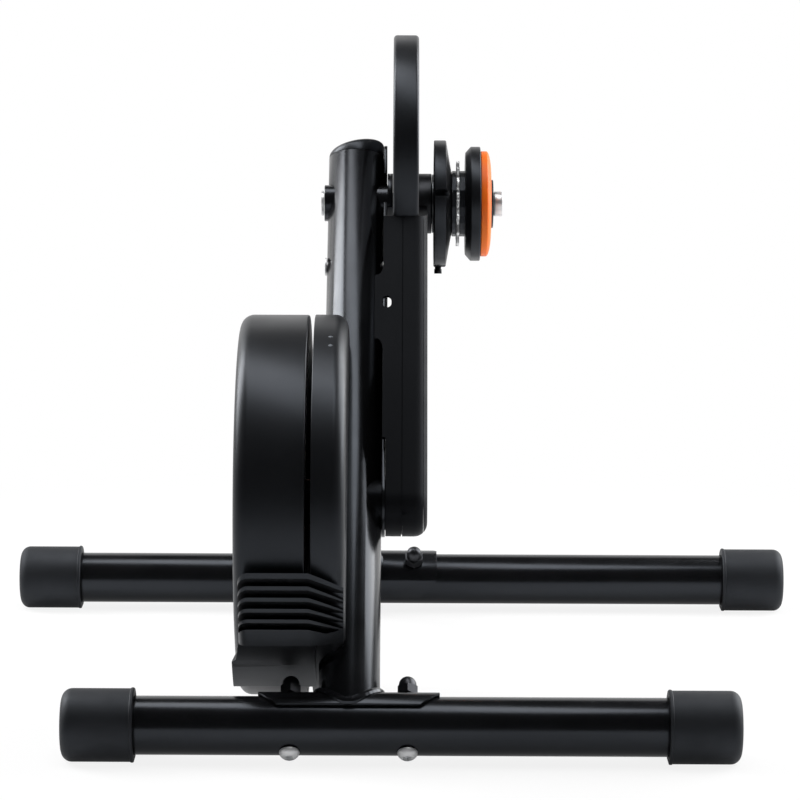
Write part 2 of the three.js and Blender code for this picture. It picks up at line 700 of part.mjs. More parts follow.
function drivePulley() {
  const seat = hubBearing.outer / 2 + seatGap;
  const outer = hub.diameter / 2;
  const leftSeatEnd = hubLeft + hubBearing.lip + hubBearing.width + seatGap;
  const rightSeat = leftSeatEnd + hubBearing.spacing;
  const clutchLeft = rightSeat + hubBearing.width + seatGap;
  const rimMiddle = (rimLeft + rimRight) / 2;
  const rimInner = bigPulley.radius - bigPulley.rim;
  const body = turned([
    [hubLeft, seat], [leftSeatEnd, seat], [leftSeatEnd, hub.shoulder], [rightSeat, hub.shoulder],
    [rightSeat, seat], [clutchLeft, seat], [clutchLeft, clutch.outer / 2 + seatGap],
    [hubRight, clutch.outer / 2 + seatGap], [hubRight, outer],
    [rimMiddle + bigPulley.web / 2, outer], [rimMiddle + bigPulley.web / 2, rimInner], [rimRight, rimInner],
    ...groovedRim(bigPulley.radius),
    [rimLeft, rimInner], [rimMiddle - bigPulley.web / 2, rimInner],
    [rimMiddle - bigPulley.web / 2, outer], [hubLeft, outer],
  ], middleSides);
  const holes = [];
  for (let i = 0; i < bigPulley.holes; i += 1) {
    const angle = fullTurn * i / bigPulley.holes;
    holes.push(rod(bigPulley.holeRadius, rimLeft, rimRight, boltSides)
      .translate(0, bigPulley.holeAt * cosine(angle), bigPulley.holeAt * sine(angle)));
  }
  return cut(body, ...holes);
}

function addHub(group) {
  piece(group, 'drive_pulley', drivePulley(), 'blackOxide');
  const bore = axle.diameter / 2 + seatGap;
  const { outer, width } = hubBearing;
  const bearing = (left) => pipe(bore, outer / 2, left, left + width, smallSides);
  const leftBearing = hubLeft + hubBearing.lip;
  const rightBearing = leftBearing + hubBearing.width + seatGap + hubBearing.spacing + seatGap / 2;
  piece(group, 'hub_bearing_left', bearing(leftBearing), 'rawSteel');
  piece(group, 'hub_bearing_right', bearing(rightBearing), 'rawSteel');
  const right = hubRight - seatGap;
  const oneWay = pipe(clutch.inner / 2, clutch.outer / 2, right - clutch.width, right, smallSides);
  piece(group, 'one_way_clutch', oneWay, 'rawSteel');
}

// Outline of the freehub splines, or of the bore that slides over them
function splineShape(grow) {
  const points = [];
  const tooth = fullTurn / freehub.splines;
  const { root, tip, splineShare } = freehub;
  const corners = [[root, 0], [root, 1 - splineShare], [tip, 1 - splineShare], [tip, 1]];
  for (let i = 0; i < freehub.splines; i += 1) {
    for (const [diameter, share] of corners) {
      const angle = tooth * (i + share);
      const size = diameter / 2 + grow;
      const shift = share === 0 || share === 1 ? 1 : -1;
      const nudge = THREE.MathUtils.radToDeg(grow / size) * shift;
      points.push(new THREE.Vector2(size * cosine(angle + nudge), size * sine(angle + nudge)));
    }
  }
  return new THREE.Shape(points);
}

function freehubBody() {
  const seat = freehubBearing.outer / 2 + seatGap;
  const shoulder = seat - freehubBearing.lip * 2;
  const left = hubRight - seatGap - clutch.width;
  const right = outerGuideRight - seatGap;
  const innerSeatEnd = left + freehubBearing.lip + freehubBearing.width;
  const threadLeft = lockRingLeft - lockRing.threadLength - seatGap;
  const outerSeat = threadLeft - freehubBearing.width - seatGap;
  const core = turned([
    [left, 0], [left, freehub.spigot / 2], [hubRight + seatGap, freehub.spigot / 2],
    [hubRight + seatGap, freehub.flange / 2], [freehubFlangeRight, freehub.flange / 2], [freehubFlangeRight, 0],
  ], middleSides);
  const splines = pulled(splineShape(0), freehubFlangeRight - freehub.flangeWidth / 2, right);
  const bore = turned([
    [left - overrun, 0], [left - overrun, seat], [innerSeatEnd, seat], [innerSeatEnd, shoulder],
    [outerSeat, shoulder], [outerSeat, seat], [threadLeft, seat], [threadLeft, lockRing.thread / 2 + seatGap],
    [right + overrun, lockRing.thread / 2 + seatGap], [right + overrun, 0],
  ], middleSides);
  return cut(join(core, splines), bore);
}

function addFreehub(group) {
  piece(group, 'freehub_body', freehubBody(), 'rawSteel');
  const bore = axle.diameter / 2 + seatGap;
  const { outer, width } = freehubBearing;
  const bearing = (left) => pipe(bore, outer / 2, left, left + width, smallSides);
  const innerLeft = hubRight - seatGap - clutch.width + freehubBearing.lip / 2;
  const outerLeft = lockRingLeft - lockRing.threadLength - freehubBearing.width - 2 * seatGap + seatGap / 2;
  piece(group, 'freehub_bearing_inner', bearing(innerLeft), 'rawSteel');
  piece(group, 'freehub_bearing_outer', bearing(outerLeft), 'rawSteel');
}

// Sprocket outline: a roller seat between each two teeth, and short flat tips
function cogOutline() {
  const step = fullTurn / cog.teeth;
  const pitchRadius = cog.pitch / 2 / sine(step / 2);
  const seatRadius = cog.roller / 2;
  const { seatSteps, seatSpread } = cog;
  const points = [];
  for (let i = 0; i < cog.teeth; i += 1) {
    const middle = step * i;
    for (let k = 0; k <= seatSteps; k += 1) {
      const turn = middle + halfTurn + seatSpread - 2 * seatSpread * k / seatSteps;
      points.push(new THREE.Vector2(
        pitchRadius * cosine(middle) + seatRadius * cosine(turn),
        pitchRadius * sine(middle) + seatRadius * sine(turn),
      ));
    }
    for (const side of [-1, 1]) {
      const turn = middle + step / 2 + side * step * cog.tipShare;
      points.push(new THREE.Vector2(cog.tip / 2 * cosine(turn), cog.tip / 2 * sine(turn)));
    }
  }
  return new THREE.Shape(points);
}

function cogPlate() {
  const plateShape = cogOutline();
  plateShape.holes.push(new THREE.Path(splineShape(seatGap).getPoints().reverse()));
  return pulled(plateShape, cogLeft, cogLeft + cog.thickness);
}

// Inner guide: a dished disc in lobes, with one small peg on its edge
function lobedGuide() {
  const [radius, face] = [innerGuide.diameter / 2, innerGuide.faceDiameter / 2];
  const bore = freehub.tip / 2 + seatGap;
  const right = guideLeft + innerGuide.width;
  const rimEdge = guideLeft + innerGuide.rim;
  const { wall, edge } = innerGuide;
  const disc = turned([
    [guideLeft, bore], [right, bore], [right, face], [rimEdge, radius - edge], [rimEdge - edge, radius],
    [guideLeft, radius], [guideLeft, radius - wall], [rimEdge - wall, radius - wall],
    [right - wall - wall / 2, face], [guideLeft, face],
  ], middleSides);
  const notches = [];
  for (let i = 0; i < innerGuide.notches; i += 1) {
    const bottom = radius - innerGuide.notchDepth;
    const half = innerGuide.notchWidth / 2;
    const shape = new THREE.Shape();
    shape.absarc(bottom + half, 0, half, Math.PI / 2, 3 * Math.PI / 2, false);
    shape.lineTo(radius + overrun, -half);
    shape.lineTo(radius + overrun, half);
    const angle = halfTurn - innerGuide.notchAngle + fullTurn * i / innerGuide.notches;
    const notch = pulled(shape, guideLeft - overrun, right + overrun, 0, tinyCurveSides);
    notches.push(notch.rotateX(radians(angle)));
  }
  const { nubReach, nubGap, nubWidth, nubDepth, neckDepth } = innerGuide;
  const nub = block(nubDepth, nubReach - nubGap, nubWidth).translate(0, radius + (nubReach + nubGap) / 2, 0);
  const neck = block(neckDepth, nubReach, nubWidth / 2).translate(0, radius + nubReach / 2 - edge, 0);
  const peg = join(nub, neck)
    .rotateX(radians(halfTurn - innerGuide.nubAngle))
    .translate(guideLeft + nubDepth / 2 + edge, 0, 0);
  return join(cut(disc, ...notches), peg);
}

function chamferedGuide() {
  const bore = freehub.tip / 2 + seatGap;
  const [left, right, radius] = [outerGuideLeft, outerGuideRight, outerGuide.diameter / 2];
  const { chamfer, edge, grooveFrom, grooveTo, grooveDepth } = outerGuide;
  return turned([
    [left, bore], [right, bore], [right, radius - edge], [right - edge, radius], [left + chamfer, radius],
    [left, radius - chamfer], [left, grooveTo / 2], [left + grooveDepth, grooveTo / 2],
    [left + grooveDepth, grooveFrom / 2], [left, grooveFrom / 2],
  ], middleSides);
}

function domedCover() {
  const [left, rim, bore] = [lockRingLeft, cogCover.diameter / 2, cogCover.bore / 2];
  const top = left + cogCover.height;
  const land = cogCover.land / 2;
  const shoulder = left + cogCover.rim;
  const { wall } = cogCover;
  const dome = [];
  const steps = 4;
  for (let i = 0; i <= steps; i += 1) {
    const turn = quarter * i / steps;
    dome.push([shoulder + (top - shoulder) * sine(turn), land + (rim - land) * cosine(turn)]);
  }
  return turned([
    [left, bore], [left, bore + wall], [top - wall, bore + wall], [top - wall, land - wall / 2],
    [shoulder, rim - wall], [left, rim - wall], [left, rim], ...dome, [top, bore],
  ], middleSides);
}

function lockingRing() {
  const [outer, thread, bore] = [lockRing.diameter / 2, lockRing.thread / 2, lockRing.bore / 2];
  const right = cogCoverRight + lockRing.proud;
  const { edge } = lockRing;
  return turned([
    [lockRingLeft - lockRing.threadLength, bore], [right, bore], [right, outer - edge], [right - edge, outer],
    [lockRingLeft, outer], [lockRingLeft, thread], [lockRingLeft - lockRing.threadLength, thread],
  ], middleSides);
}

function addCogStack(group) {
  const bore = freehub.tip / 2 + seatGap;
  const spacerRadius = cogSpacer.diameter / 2;
  piece(group, 'inner_chain_guide', lobedGuide(), 'blackPlastic');
  const spacer = (left, width) => pipe(bore, spacerRadius, left, left + width);
  piece(group, 'inner_cog_spacer', spacer(innerSpacerLeft, cogSpacer.innerWidth), 'blackPlastic');
  piece(group, 'cog', cogPlate(), 'brightSteel');
  piece(group, 'outer_cog_spacer', spacer(outerSpacerLeft, cogSpacer.outerWidth), 'blackPlastic');
  piece(group, 'outer_chain_guide', chamferedGuide(), 'blackPlastic');
  piece(group, 'cog_cover', domedCover(), 'orangePlastic');
  piece(group, 'lock_ring', lockingRing(), 'blackOxide');
}

// Belt: its ribbed section follows the arc of each pulley and the straight runs between
function driveBelt() {
  const section = [];
  const [beltLeft, beltRight] = [grooveLeft + seatGap / 2, grooveRight - seatGap / 2];
  for (let rib = 0; rib < belt.ribs; rib += 1) {
    const left = beltLeft + rib * belt.pitch;
    section.push([left, belt.gap], [left + belt.pitch / 2, belt.gap - belt.ribDepth]);
  }
  const back = belt.gap + belt.backing;
  section.push([beltRight, belt.gap], [beltRight, back], [beltLeft, back]);
  const splay = splayOf(bigPulley.radius, smallPulley.radius);
  const stops = [];
  const bigSteps = 18;
  for (let i = 0; i <= bigSteps; i += 1) {
    const angle = tube.lean - quarter - splay + (halfTurn + 2 * splay) * i / bigSteps;
    stops.push({ angle, radius: bigPulley.radius, away: 0 });
  }
  const smallSteps = 7;
  for (let i = 0; i <= smallSteps; i += 1) {
    const angle = tube.lean + quarter + splay + (halfTurn - 2 * splay) * i / smallSteps;
    stops.push({ angle, radius: smallPulley.radius, away: shaftSpacing });
  }
  return closedSweep(stops.length, section.length, (step, corner) => {
    const { angle, radius, away } = stops[step];
    const [x, offset] = section[corner];
    const reach = radius + offset;
    return [
      x,
      reach * cosine(angle) - away * cosine(tube.lean),
      reach * sine(angle) - away * sine(tube.lean),
    ];
  });
}

// Outline round both shafts: a large arc about the axle and a small one about the flywheel shaft
function dropShape(big, small) {
  const splay = splayOf(big, small);
  const [low, high] = [tube.lean - quarter - splay, tube.lean + quarter + splay].map(radians);
  const shape = new THREE.Shape();
  shape.absarc(0, 0, big, low, high, false);
  const [y, z] = [-shaftSpacing * cosine(tube.lean), -shaftSpacing * sine(tube.lean)];
  shape.absarc(y, z, small, high, low + 2 * Math.PI, false);
  return shape;
}

const coverOutline = () => dropShape(coverRadius, cover.endRadius);
const coverInside = () => dropShape(coverRadius - cover.wall, cover.endRadius - cover.wall);

// Everything above a level in the axle frame
function above(level) {
  const size = 4 * coverRadius;
  return block(size, size, size).translate(0, 0, size / 2 + level);
}

const hubClearance = () => (
  rod(hub.diameter / 2 + cover.hubGap, coverLeft - coverTab.reach, coverRight + overrun)
);
const atFlywheel = (geometry) => (
  geometry.translate(0, -shaftSpacing * cosine(tube.lean), -shaftSpacing * sine(tube.lean))
);

// Flat tab on the rear edge of the inner cover, lying over the tube, with a slotted hole
function rearTab() {
  const splay = splayOf(coverRadius, cover.endRadius);
  const { from, to, reach, fillet, corner, thickness } = coverTab;
  const cornerRun = fillet * coverTab.filletShare;
  const [start, end] = [-shaftSpacing + from, -shaftSpacing + to];
  const shape = new THREE.Shape();
  shape.moveTo(cover.wall, start - fillet);
  shape.lineTo(0, start - fillet);
  shape.quadraticCurveTo(0, start, -cornerRun, start);
  shape.lineTo(corner - reach, start);
  shape.quadraticCurveTo(-reach, start, -reach, start + corner);
  shape.lineTo(-reach, end - corner);
  shape.quadraticCurveTo(-reach, end, corner - reach, end);
  shape.lineTo(-cornerRun, end);
  shape.quadraticCurveTo(0, end, 0, end + fillet);
  shape.lineTo(cover.wall, end + fillet);
  const extrusion = { depth: thickness, bevelEnabled: false, curveSegments: tinyCurveSides };
  return closed(new THREE.ExtrudeGeometry(shape, extrusion))
    .translate(coverLeft, 0, -thickness - seatGap)
    .applyMatrix4(rearEdge(splay));
}

// Turns (x, along, outward) on the rear edge of the cover into the axle frame
function rearEdge(splay) {
  const outward = tube.lean + quarter + splay;
  const along = outward - quarter;
  return new THREE.Matrix4().set(
    1, 0, 0, 0,
    0, cosine(along), cosine(outward), coverRadius * cosine(outward),
    0, sine(along), sine(outward), coverRadius * sine(outward),
    0, 0, 0, 1,
  );
}

function tabHole() {
  const { hole, holeLength, holeAt, holeInset } = coverTab;
  const half = (holeLength - hole) / 2;
  const middle = -shaftSpacing + holeAt;
  const shape = new THREE.Shape();
  shape.absarc(0, half, hole / 2, 0, Math.PI, false);
  shape.absarc(0, -half, hole / 2, Math.PI, 2 * Math.PI, false);
  const depth = 3 * coverTab.thickness + 2 * overrun;
  const extrusion = { depth, bevelEnabled: false, curveSegments: smallCurveSides };
  return closed(new THREE.ExtrudeGeometry(shape, extrusion))
    .translate(coverLeft - hole / 2 + holeInset + cover.wall, middle, overrun - depth)
    .applyMatrix4(rearEdge(splayOf(coverRadius, cover.endRadius)));
}

const alongRun = (distance) => [
  (distance - shaftSpacing) * cosine(tube.lean),
  (distance - shaftSpacing) * sine(tube.lean),
];

function innerCover() {
  const belowHood = -seatGap / 2;
  const shell = pulled(coverOutline(), coverLeft, seam - seatGap / 2);
  const beltSpace = pulled(coverInside(), cavityLeft, seam + overrun);
  const backSpace = pulled(coverInside(), coverLeft - overrun, hoodLeft);
  const frontSpace = pulled(coverInside(), coverLeft - overrun, hoodLeft)
    .translate(0, cover.frontRelief * sine(tube.lean), -cover.frontRelief * cosine(tube.lean));
  const back = cut(join(backSpace, frontSpace), above(-cover.roof));
  const hollow = cut(shell, beltSpace, back, above(belowHood));
  const pillarTop = coverRight - cover.wall - seatGap;
  const boreFloor = coverRight - cover.wall - coverScrew.grip - overrun;
  const pillars = [pillar.lowerAt, pillar.upperAt].map((distance) => (
    rod(pillar.radius, hoodLeft + cover.wall / 2, pillarTop, boltSides)
      .translate(0, ...alongRun(distance))
  ));
  const bores = [pillar.lowerAt, pillar.upperAt].map((distance) => (
    rod(coverScrew.shank / 2 + seatGap, boreFloor, coverRight, boltSides)
      .translate(0, ...alongRun(distance))
  ));
  const shaftHole = atFlywheel(rod(smallPulley.boss + turnGap, coverLeft, seam, smallSides));
  return cut(join(hollow, rearTab(), ...pillars), ...bores, shaftHole, hubClearance(), tabHole());
}

function outerCover() {
  const start = seam + seatGap / 2;
  const { wall, edgeRound } = cover;
  const rounded = pulled(coverOutline(), start - 3 * edgeRound, coverRight, edgeRound);
  const leftSize = 4 * shaftSpacing;
  const leftPart = block(leftSize, leftSize, leftSize).translate(start - leftSize / 2, 0, 0);
  const beltSpace = pulled(coverInside(), start - overrun, cavityRight);
  const sideSpace = cut(
    pulled(coverInside(), start - overrun, coverRight - wall, edgeRound - wall),
    above(-cover.roof),
  );
  const holes = [pillar.lowerAt, pillar.upperAt].map((distance) => (
    rod(coverScrew.shank / 2 + seatGap, coverRight - 2 * wall, coverRight + overrun, boltSides)
      .translate(0, ...alongRun(distance))
  ));
  return cut(rounded, leftPart, join(beltSpace, sideSpace), above(-seatGap / 2), hubClearance(), ...holes);
}

// Hood over the upper half of the large pulley, drawn up into a carrying handle
function handleHood() {
  const splay = splayOf(coverRadius, cover.endRadius);
  const rear = -coverRadius / cosine(tube.lean + quarter + splay);
  const centre = (hood.top ** 2 - rear ** 2) / (2 * hood.top);
  const radius = hood.top - centre;
  const level = seatGap / 2;
  const shape = new THREE.Shape();
  shape.moveTo(-rear, level - hood.edgeRound);
  shape.absarc(0, centre, radius, Math.PI + Math.asin(centre / radius), 0, true);
  shape.quadraticCurveTo(radius, level, coverRadius, level - hood.edgeRound);
  const body = pulled(shape, hoodLeft, hoodRight, hood.edgeRound, bandCurveSides);
  const pulleySpace = pulled(coverInside(), cavityLeft, cavityRight);
  const size = 4 * coverRadius;
  const below = block(size, size, size).translate(0, 0, level - size / 2);
  return cut(body, handSlot(), pulleySpace, below, hubClearance());
}

function handSlot() {
  const { slotInner, slotOuter, slotHalfAngle } = hood;
  const [left, right] = [quarter + slotHalfAngle, quarter - slotHalfAngle].map(radians);
  const middle = (slotInner + slotOuter) / 2;
  const end = (slotOuter - slotInner) / 2;
  const shape = new THREE.Shape();
  shape.absarc(0, 0, slotOuter, left, right, true);
  shape.absarc(middle * Math.cos(right), middle * Math.sin(right), end, right, right - Math.PI, true);
  shape.absarc(0, 0, slotInner, right, left, false);
  shape.absarc(middle * Math.cos(left), middle * Math.sin(left), end, left + Math.PI, left, true);
  return pulled(shape, hoodLeft - overrun, hoodRight + overrun, 0, bandCurveSides);
}

function panScrew() {
  const under = coverRight + seatGap;
  const top = under + coverScrew.headHeight;
  const end = coverRight - cover.wall - coverScrew.grip;
  const [shankRadius, headRadius] = [coverScrew.shank / 2, coverScrew.head / 2];
  const body = turned([
    [end, 0], [end, shankRadius], [under, shankRadius], [under, headRadius],
    [top - coverScrew.headHeight / 2, headRadius], [top, headRadius / 2], [top, 0],
  ], boltSides);
  const hexagon = hexBar(coverScrew.socket, 0, coverScrew.socketDepth + overrun)
    .rotateY(Math.PI / 2)
    .translate(top - coverScrew.socketDepth, 0, 0);
  return cut(body, hexagon);
}

function addBeltDrive(group) {
  piece(group, 'drive_belt', driveBelt(), 'darkRubber');
  piece(group, 'belt_cover_inner', innerCover(), 'blackPlastic');
  piece(group, 'belt_cover_outer', outerCover(), 'blackPlastic');
  piece(group, 'handle_hood', handleHood(), 'blackPlastic');
  for (const [name, distance] of [['lower', pillar.lowerAt], ['upper', pillar.upperAt]]) {
    const [y, z] = alongRun(distance);
    piece(group, `cover_screw_${name}`, panScrew(), 'blackOxide').position.set(0, y, z);
  }
}

// Flywheel: heavy rim, thin web, and a hub that clamps against the collar of the shaft
function flywheelDrum() {
  const radius = flywheel.diameter / 2;
  const inner = radius - flywheel.rim;
  const bore = shaft.diameter / 2 + seatGap;
  const pocketFloor = webLeft + flywheel.nutDepth;
  const { round, innerRound, dish, dishFrom, nutPocket } = flywheel;
  const dishEdge = radius - flywheel.dishRim;
  const profile = [
    [pocketFloor, bore], [wheelHubRight, bore], [wheelHubRight, flywheel.hub / 2],
    [webRight, flywheel.hub / 2], [webRight, inner], [wheelRight, inner],
    [wheelRight, radius - innerRound], [wheelRight - innerRound, radius],
    ...bend(wheelLeft + round, radius - round, round, quarter, halfTurn),
    [wheelLeft, dishEdge + dish], [webLeft, dishEdge], [webLeft, dishFrom / 2 + dish],
    [wheelLeft, dishFrom / 2], [wheelLeft, nutPocket / 2], [pocketFloor, nutPocket / 2],
  ];
  return turned(profile, largeSides);
}

function flywheelShaft() {
  const radius = shaft.diameter / 2;
  const collarLeft = wheelHubRight + seatGap;
  const collarRight = collarLeft + shaft.collarWidth - seatGap;
  const left = wheelLeft + seatGap;
  const right = rimRight + shaft.rightProud;
  return turned([
    [left, 0], [left, radius], [collarLeft, radius], [collarLeft, shaft.collar / 2],
    [collarRight, shaft.collar / 2], [collarRight, radius], [right, radius], [right, 0],
  ], smallSides);
}

function beltPulley() {
  const bore = shaft.diameter / 2 + seatGap;
  const left = flangeRight - wheelBearing.lip + seatGap;
  return turned([
    [left, bore], [rimRight, bore], ...groovedRim(smallPulley.radius),
    [rimLeft, smallPulley.boss], [left, smallPulley.boss],
  ], smallSides);
}

function lockNut(size, from, to) {
  return cut(
    hexBar(size.flats, from, to).rotateY(Math.PI / 2),
    rod(shaft.diameter / 2 + seatGap, from - overrun, to + overrun, smallSides),
  );
}

function addFlywheel(group) {
  piece(group, 'flywheel', flywheelDrum(), 'wheelPaint');
  piece(group, 'flywheel_shaft', flywheelShaft(), 'rawSteel');
  piece(group, 'flywheel_pulley', beltPulley(), 'blackOxide');
  const nutRight = webLeft + flywheel.nutDepth - seatGap;
  piece(group, 'flywheel_nut', lockNut(wheelNut, nutRight - wheelNut.height, nutRight), 'blackOxide');
  const pulleyNutLeft = rimRight + seatGap;
  piece(group, 'pulley_nut', lockNut(pulleyNut, pulleyNutLeft, pulleyNutLeft + pulleyNut.height), 'blackOxide');
}

// Bearing sleeve of the flywheel shaft, with a seat at each end
function bearingSleeve() {
  const seat = wheelBearing.outer / 2 + seatGap;
  const deep = wheelBearing.width + wheelBearing.lip + seatGap;
  return turned([
    [sleeveLeft, seat], [sleeveLeft, wheelSleeve.diameter / 2], [flangeLeft, wheelSleeve.diameter / 2],
    [flangeLeft, wheelSleeve.flange / 2], [flangeRight, wheelSleeve.flange / 2], [flangeRight, seat],
    [flangeRight - deep, seat], [flangeRight - deep, wheelBearing.shoulder],
    [sleeveLeft + deep, wheelBearing.shoulder], [sleeveLeft + deep, seat],
  ], smallSides);
}

// Six wound poles on a ring that sits on the bearing sleeve
function brakeMagnet() {
  const left = sleeveLeft + magnet.left;
  const right = left + magnet.width;
  const middle = (left + right) / 2;
  const tip = flywheel.diameter / 2 - flywheel.rim - magnet.tipGap;
  const reach = tip - magnet.hub / 2 + overrun;
  const [near, far, side] = [magnet.coilFrom, tip - magnet.shoeDepth - magnet.coilGap, magnet.coil / 2];
  let body = pipe(wheelSleeve.diameter / 2 + seatGap, magnet.hub / 2, left, right);
  for (let i = 0; i < magnet.poles; i += 1) {
    const angle = radians(fullTurn / magnet.poles * i + halfTurn / magnet.poles);
    const pole = block(magnet.width, reach, magnet.pole).translate(middle, tip - reach / 2, 0);
    const shoe = block(magnet.width, magnet.shoeDepth, magnet.shoe)
      .translate(middle, tip - magnet.shoeDepth / 2, 0);
    const coilShape = new THREE.Shape();
    coilShape.moveTo(near, -side);
    coilShape.lineTo(far, -side);
    coilShape.lineTo(far, side);
    coilShape.lineTo(near, side);
    const coil = pulled(coilShape, left - magnet.coilProud, right + magnet.coilProud);
    body = join(body, pole.rotateX(angle), shoe.rotateX(angle), coil.rotateX(angle));
  }
  return body;
}

function addBearings(group) {
  piece(group, 'flywheel_sleeve', bearingSleeve(), 'blackPaint');
  const bore = shaft.diameter / 2 + seatGap;
  const { outer, width, lip } = wheelBearing;
  const bearing = (left) => pipe(bore, outer / 2, left, left + width, smallSides);
  piece(group, 'flywheel_bearing_left', bearing(sleeveLeft + lip), 'rawSteel');
  piece(group, 'flywheel_bearing_right', bearing(flangeRight - lip - width), 'rawSteel');
  piece(group, 'brake_magnet', brakeMagnet(), 'copper');
}

// The main tube as it crosses the flywheel side, grown by a clearance
function tubeSpace(grow) {
  return post(tubeRadius + grow, -tube.length, tube.length)
    .rotateX(radians(tube.lean - quarter))
    .translate(tube.offset, 0, 0);
}

// Rearward radial direction, counted from straight up (angle 0) over the rear to straight down
const rimPlace = (radius, angle) => [-radius * sine(angle), radius * cosine(angle)];

// Turns a body standing on +Z at the centre to an angle from straight up
const towards = (geometry, angle) => geometry.rotateX(radians(angle));

// Round shell beside the flywheel with a channel that fits over the main tube
function electronicsCover() {
  const { wall, round } = housing;
  const [radius, right] = [housingRadius, housingRight];
  const shell = turned([
    [housingLeft, 0], [housingLeft, radius],
    ...bend(right - round, radius - round, round, quarter, 0),
    [right, 0],
  ], largeSides);
  const floor = backRight + seatGap;
  const inside = turned([
    [floor, 0], [floor, radius - wall], [right - round, radius - wall],
    ...bend(right - round, radius - round, round - wall, quarter, 0, 2),
    [right - wall, 0],
  ], largeSides);
  const channelWall = tubeSpace(seatGap + wall);
  const lid = rod(radius - wall, housingLeft - overrun, floor, largeSides);
  const lights = [light.firstAngle, light.secondAngle].map((angle) => (
    towards(post(light.diameter / 2 + seatGap, radius - 2 * wall, radius + overrun, pinSides), angle)
      .translate(right - light.inset, 0, 0)
  ));
  const socketPost = post(socket.diameter / 2 + seatGap, radius - 3 * wall, radius + overrun, boltSides);
  const socketHole = towards(socketPost, -socket.angle).translate(right - socket.inset, 0, 0);
  const sleeveHole = rod(wheelSleeve.diameter / 2 + seatGap, housingLeft - overrun, right + overrun);
  return cut(shell, cut(inside, channelWall), lid, tubeSpace(seatGap), sleeveHole, socketHole, ...lights);
}

function backingPlate() {
  const outer = housingRadius - housing.wall - seatGap;
  return pipe(wheelSleeve.diameter / 2 + seatGap, outer, housingLeft, backRight, largeSides);
}

function circuitBoard() {
  const left = backRight + seatGap;
  const base = block(board.thickness, board.across, board.along);
  const parts = boardShares.map((share) => {
    const height = share.height * board.parts;
    return block(height, share.across * board.across, share.along * board.along).translate(
      (height + board.thickness) / 2 - board.sink,
      share.acrossAt * board.across,
      share.alongAt * board.along,
    );
  });
  return join(base, ...parts)
    .translate(left + board.thickness / 2, board.inset - housingRadius, 0)
    .rotateX(radians(tube.lean - quarter));
}

// Light pipe: a strip under the rim with two round ends that show through it
function lightPipe() {
  const outer = housingRadius - housing.wall - 3 * seatGap;
  const inner = outer - light.strip;
  const at = housingRight - light.inset;
  const [start, end] = [light.firstAngle - light.end, light.secondAngle + light.end];
  const shape = new THREE.Shape();
  shape.absarc(0, 0, outer, radians(quarter + start), radians(quarter + end), false);
  shape.absarc(0, 0, inner, radians(quarter + end), radians(quarter + start), true);
  const strip = pulled(shape, at - light.width / 2, at + light.width / 2, 0, tinyCurveSides);
  const pins = [light.firstAngle, light.secondAngle].map((angle) => (
    towards(post(light.diameter / 2, inner + light.strip / 2, housingRadius, pinSides), angle)
      .translate(at, 0, 0)
  ));
  return join(strip, ...pins);
}

function powerSocket() {
  const bottom = housingRadius - socket.depth;
  const collarFoot = housingRadius + seatGap;
  const top = collarFoot + socket.collarHeight;
  const boreFloor = top - socket.boreDepth;
  const body = turnedUp([
    [bottom, 0], [bottom, socket.diameter / 2], [collarFoot, socket.diameter / 2],
    [collarFoot, socket.collar / 2], [top, socket.collar / 2], [top, socket.bore / 2], [boreFloor, socket.bore / 2],
    [boreFloor, socket.pin / 2], [collarFoot, socket.pin / 2], [collarFoot, 0],
  ], smallSides);
  return towards(body, -socket.angle).translate(housingRight - socket.inset, 0, 0);
}

// A sector about the shaft between two angles counted from straight down towards the rear
function sector(from, to, left, right) {
  const reach = 2 * finsRadius;
  const steps = 4;
  const shape = new THREE.Shape();
  shape.moveTo(0, 0);
  for (let i = 0; i <= steps; i += 1) {
    const angle = from + (to - from) * i / steps;
    shape.lineTo(-reach * sine(angle), -reach * cosine(angle));
  }
  return pulled(shape, left - overrun, right + overrun);
}

// Guard: it runs clear of the flywheel and sits on the housing, and its left edge slants out
// towards the bottom
function flywheelGuard() {
  const right = housingLeft + guard.overlap;
  const outer = overWheel + guard.thickness;
  const ring = turned([
    [guardLeft, overWheel], [guardLeft, outer], [right, outer], [right, onHousing],
    [housingLeft, onHousing], [housingLeft, overWheel],
  ], 2 * largeSides);
  const drop = outer * (cosine(guard.from) - cosine(guard.to));
  const beside = block(2 * outer, 2 * outer, 2 * outer)
    .translate(-outer, 0, 0)
    .rotateY(Math.atan2(finsLeft - guardLeft, drop))
    .translate(finsLeft, 0, -outer * cosine(guard.to));
  return cut(common(ring, sector(guard.from, guard.to, guardLeft, right)), beside);
}

// A slanted slab whose one face passes through the outer edge at an angle from straight down
function slab(angle, thickness, shift) {
  return block(finsRight - finsLeft + 2 * overrun, finsRadius, thickness)
    .translate((finsLeft + finsRight) / 2, 0, shift)
    .rotateX(radians(fins.tilt - angle))
    .translate(0, -finsRadius * sine(angle), -finsRadius * cosine(angle));
}

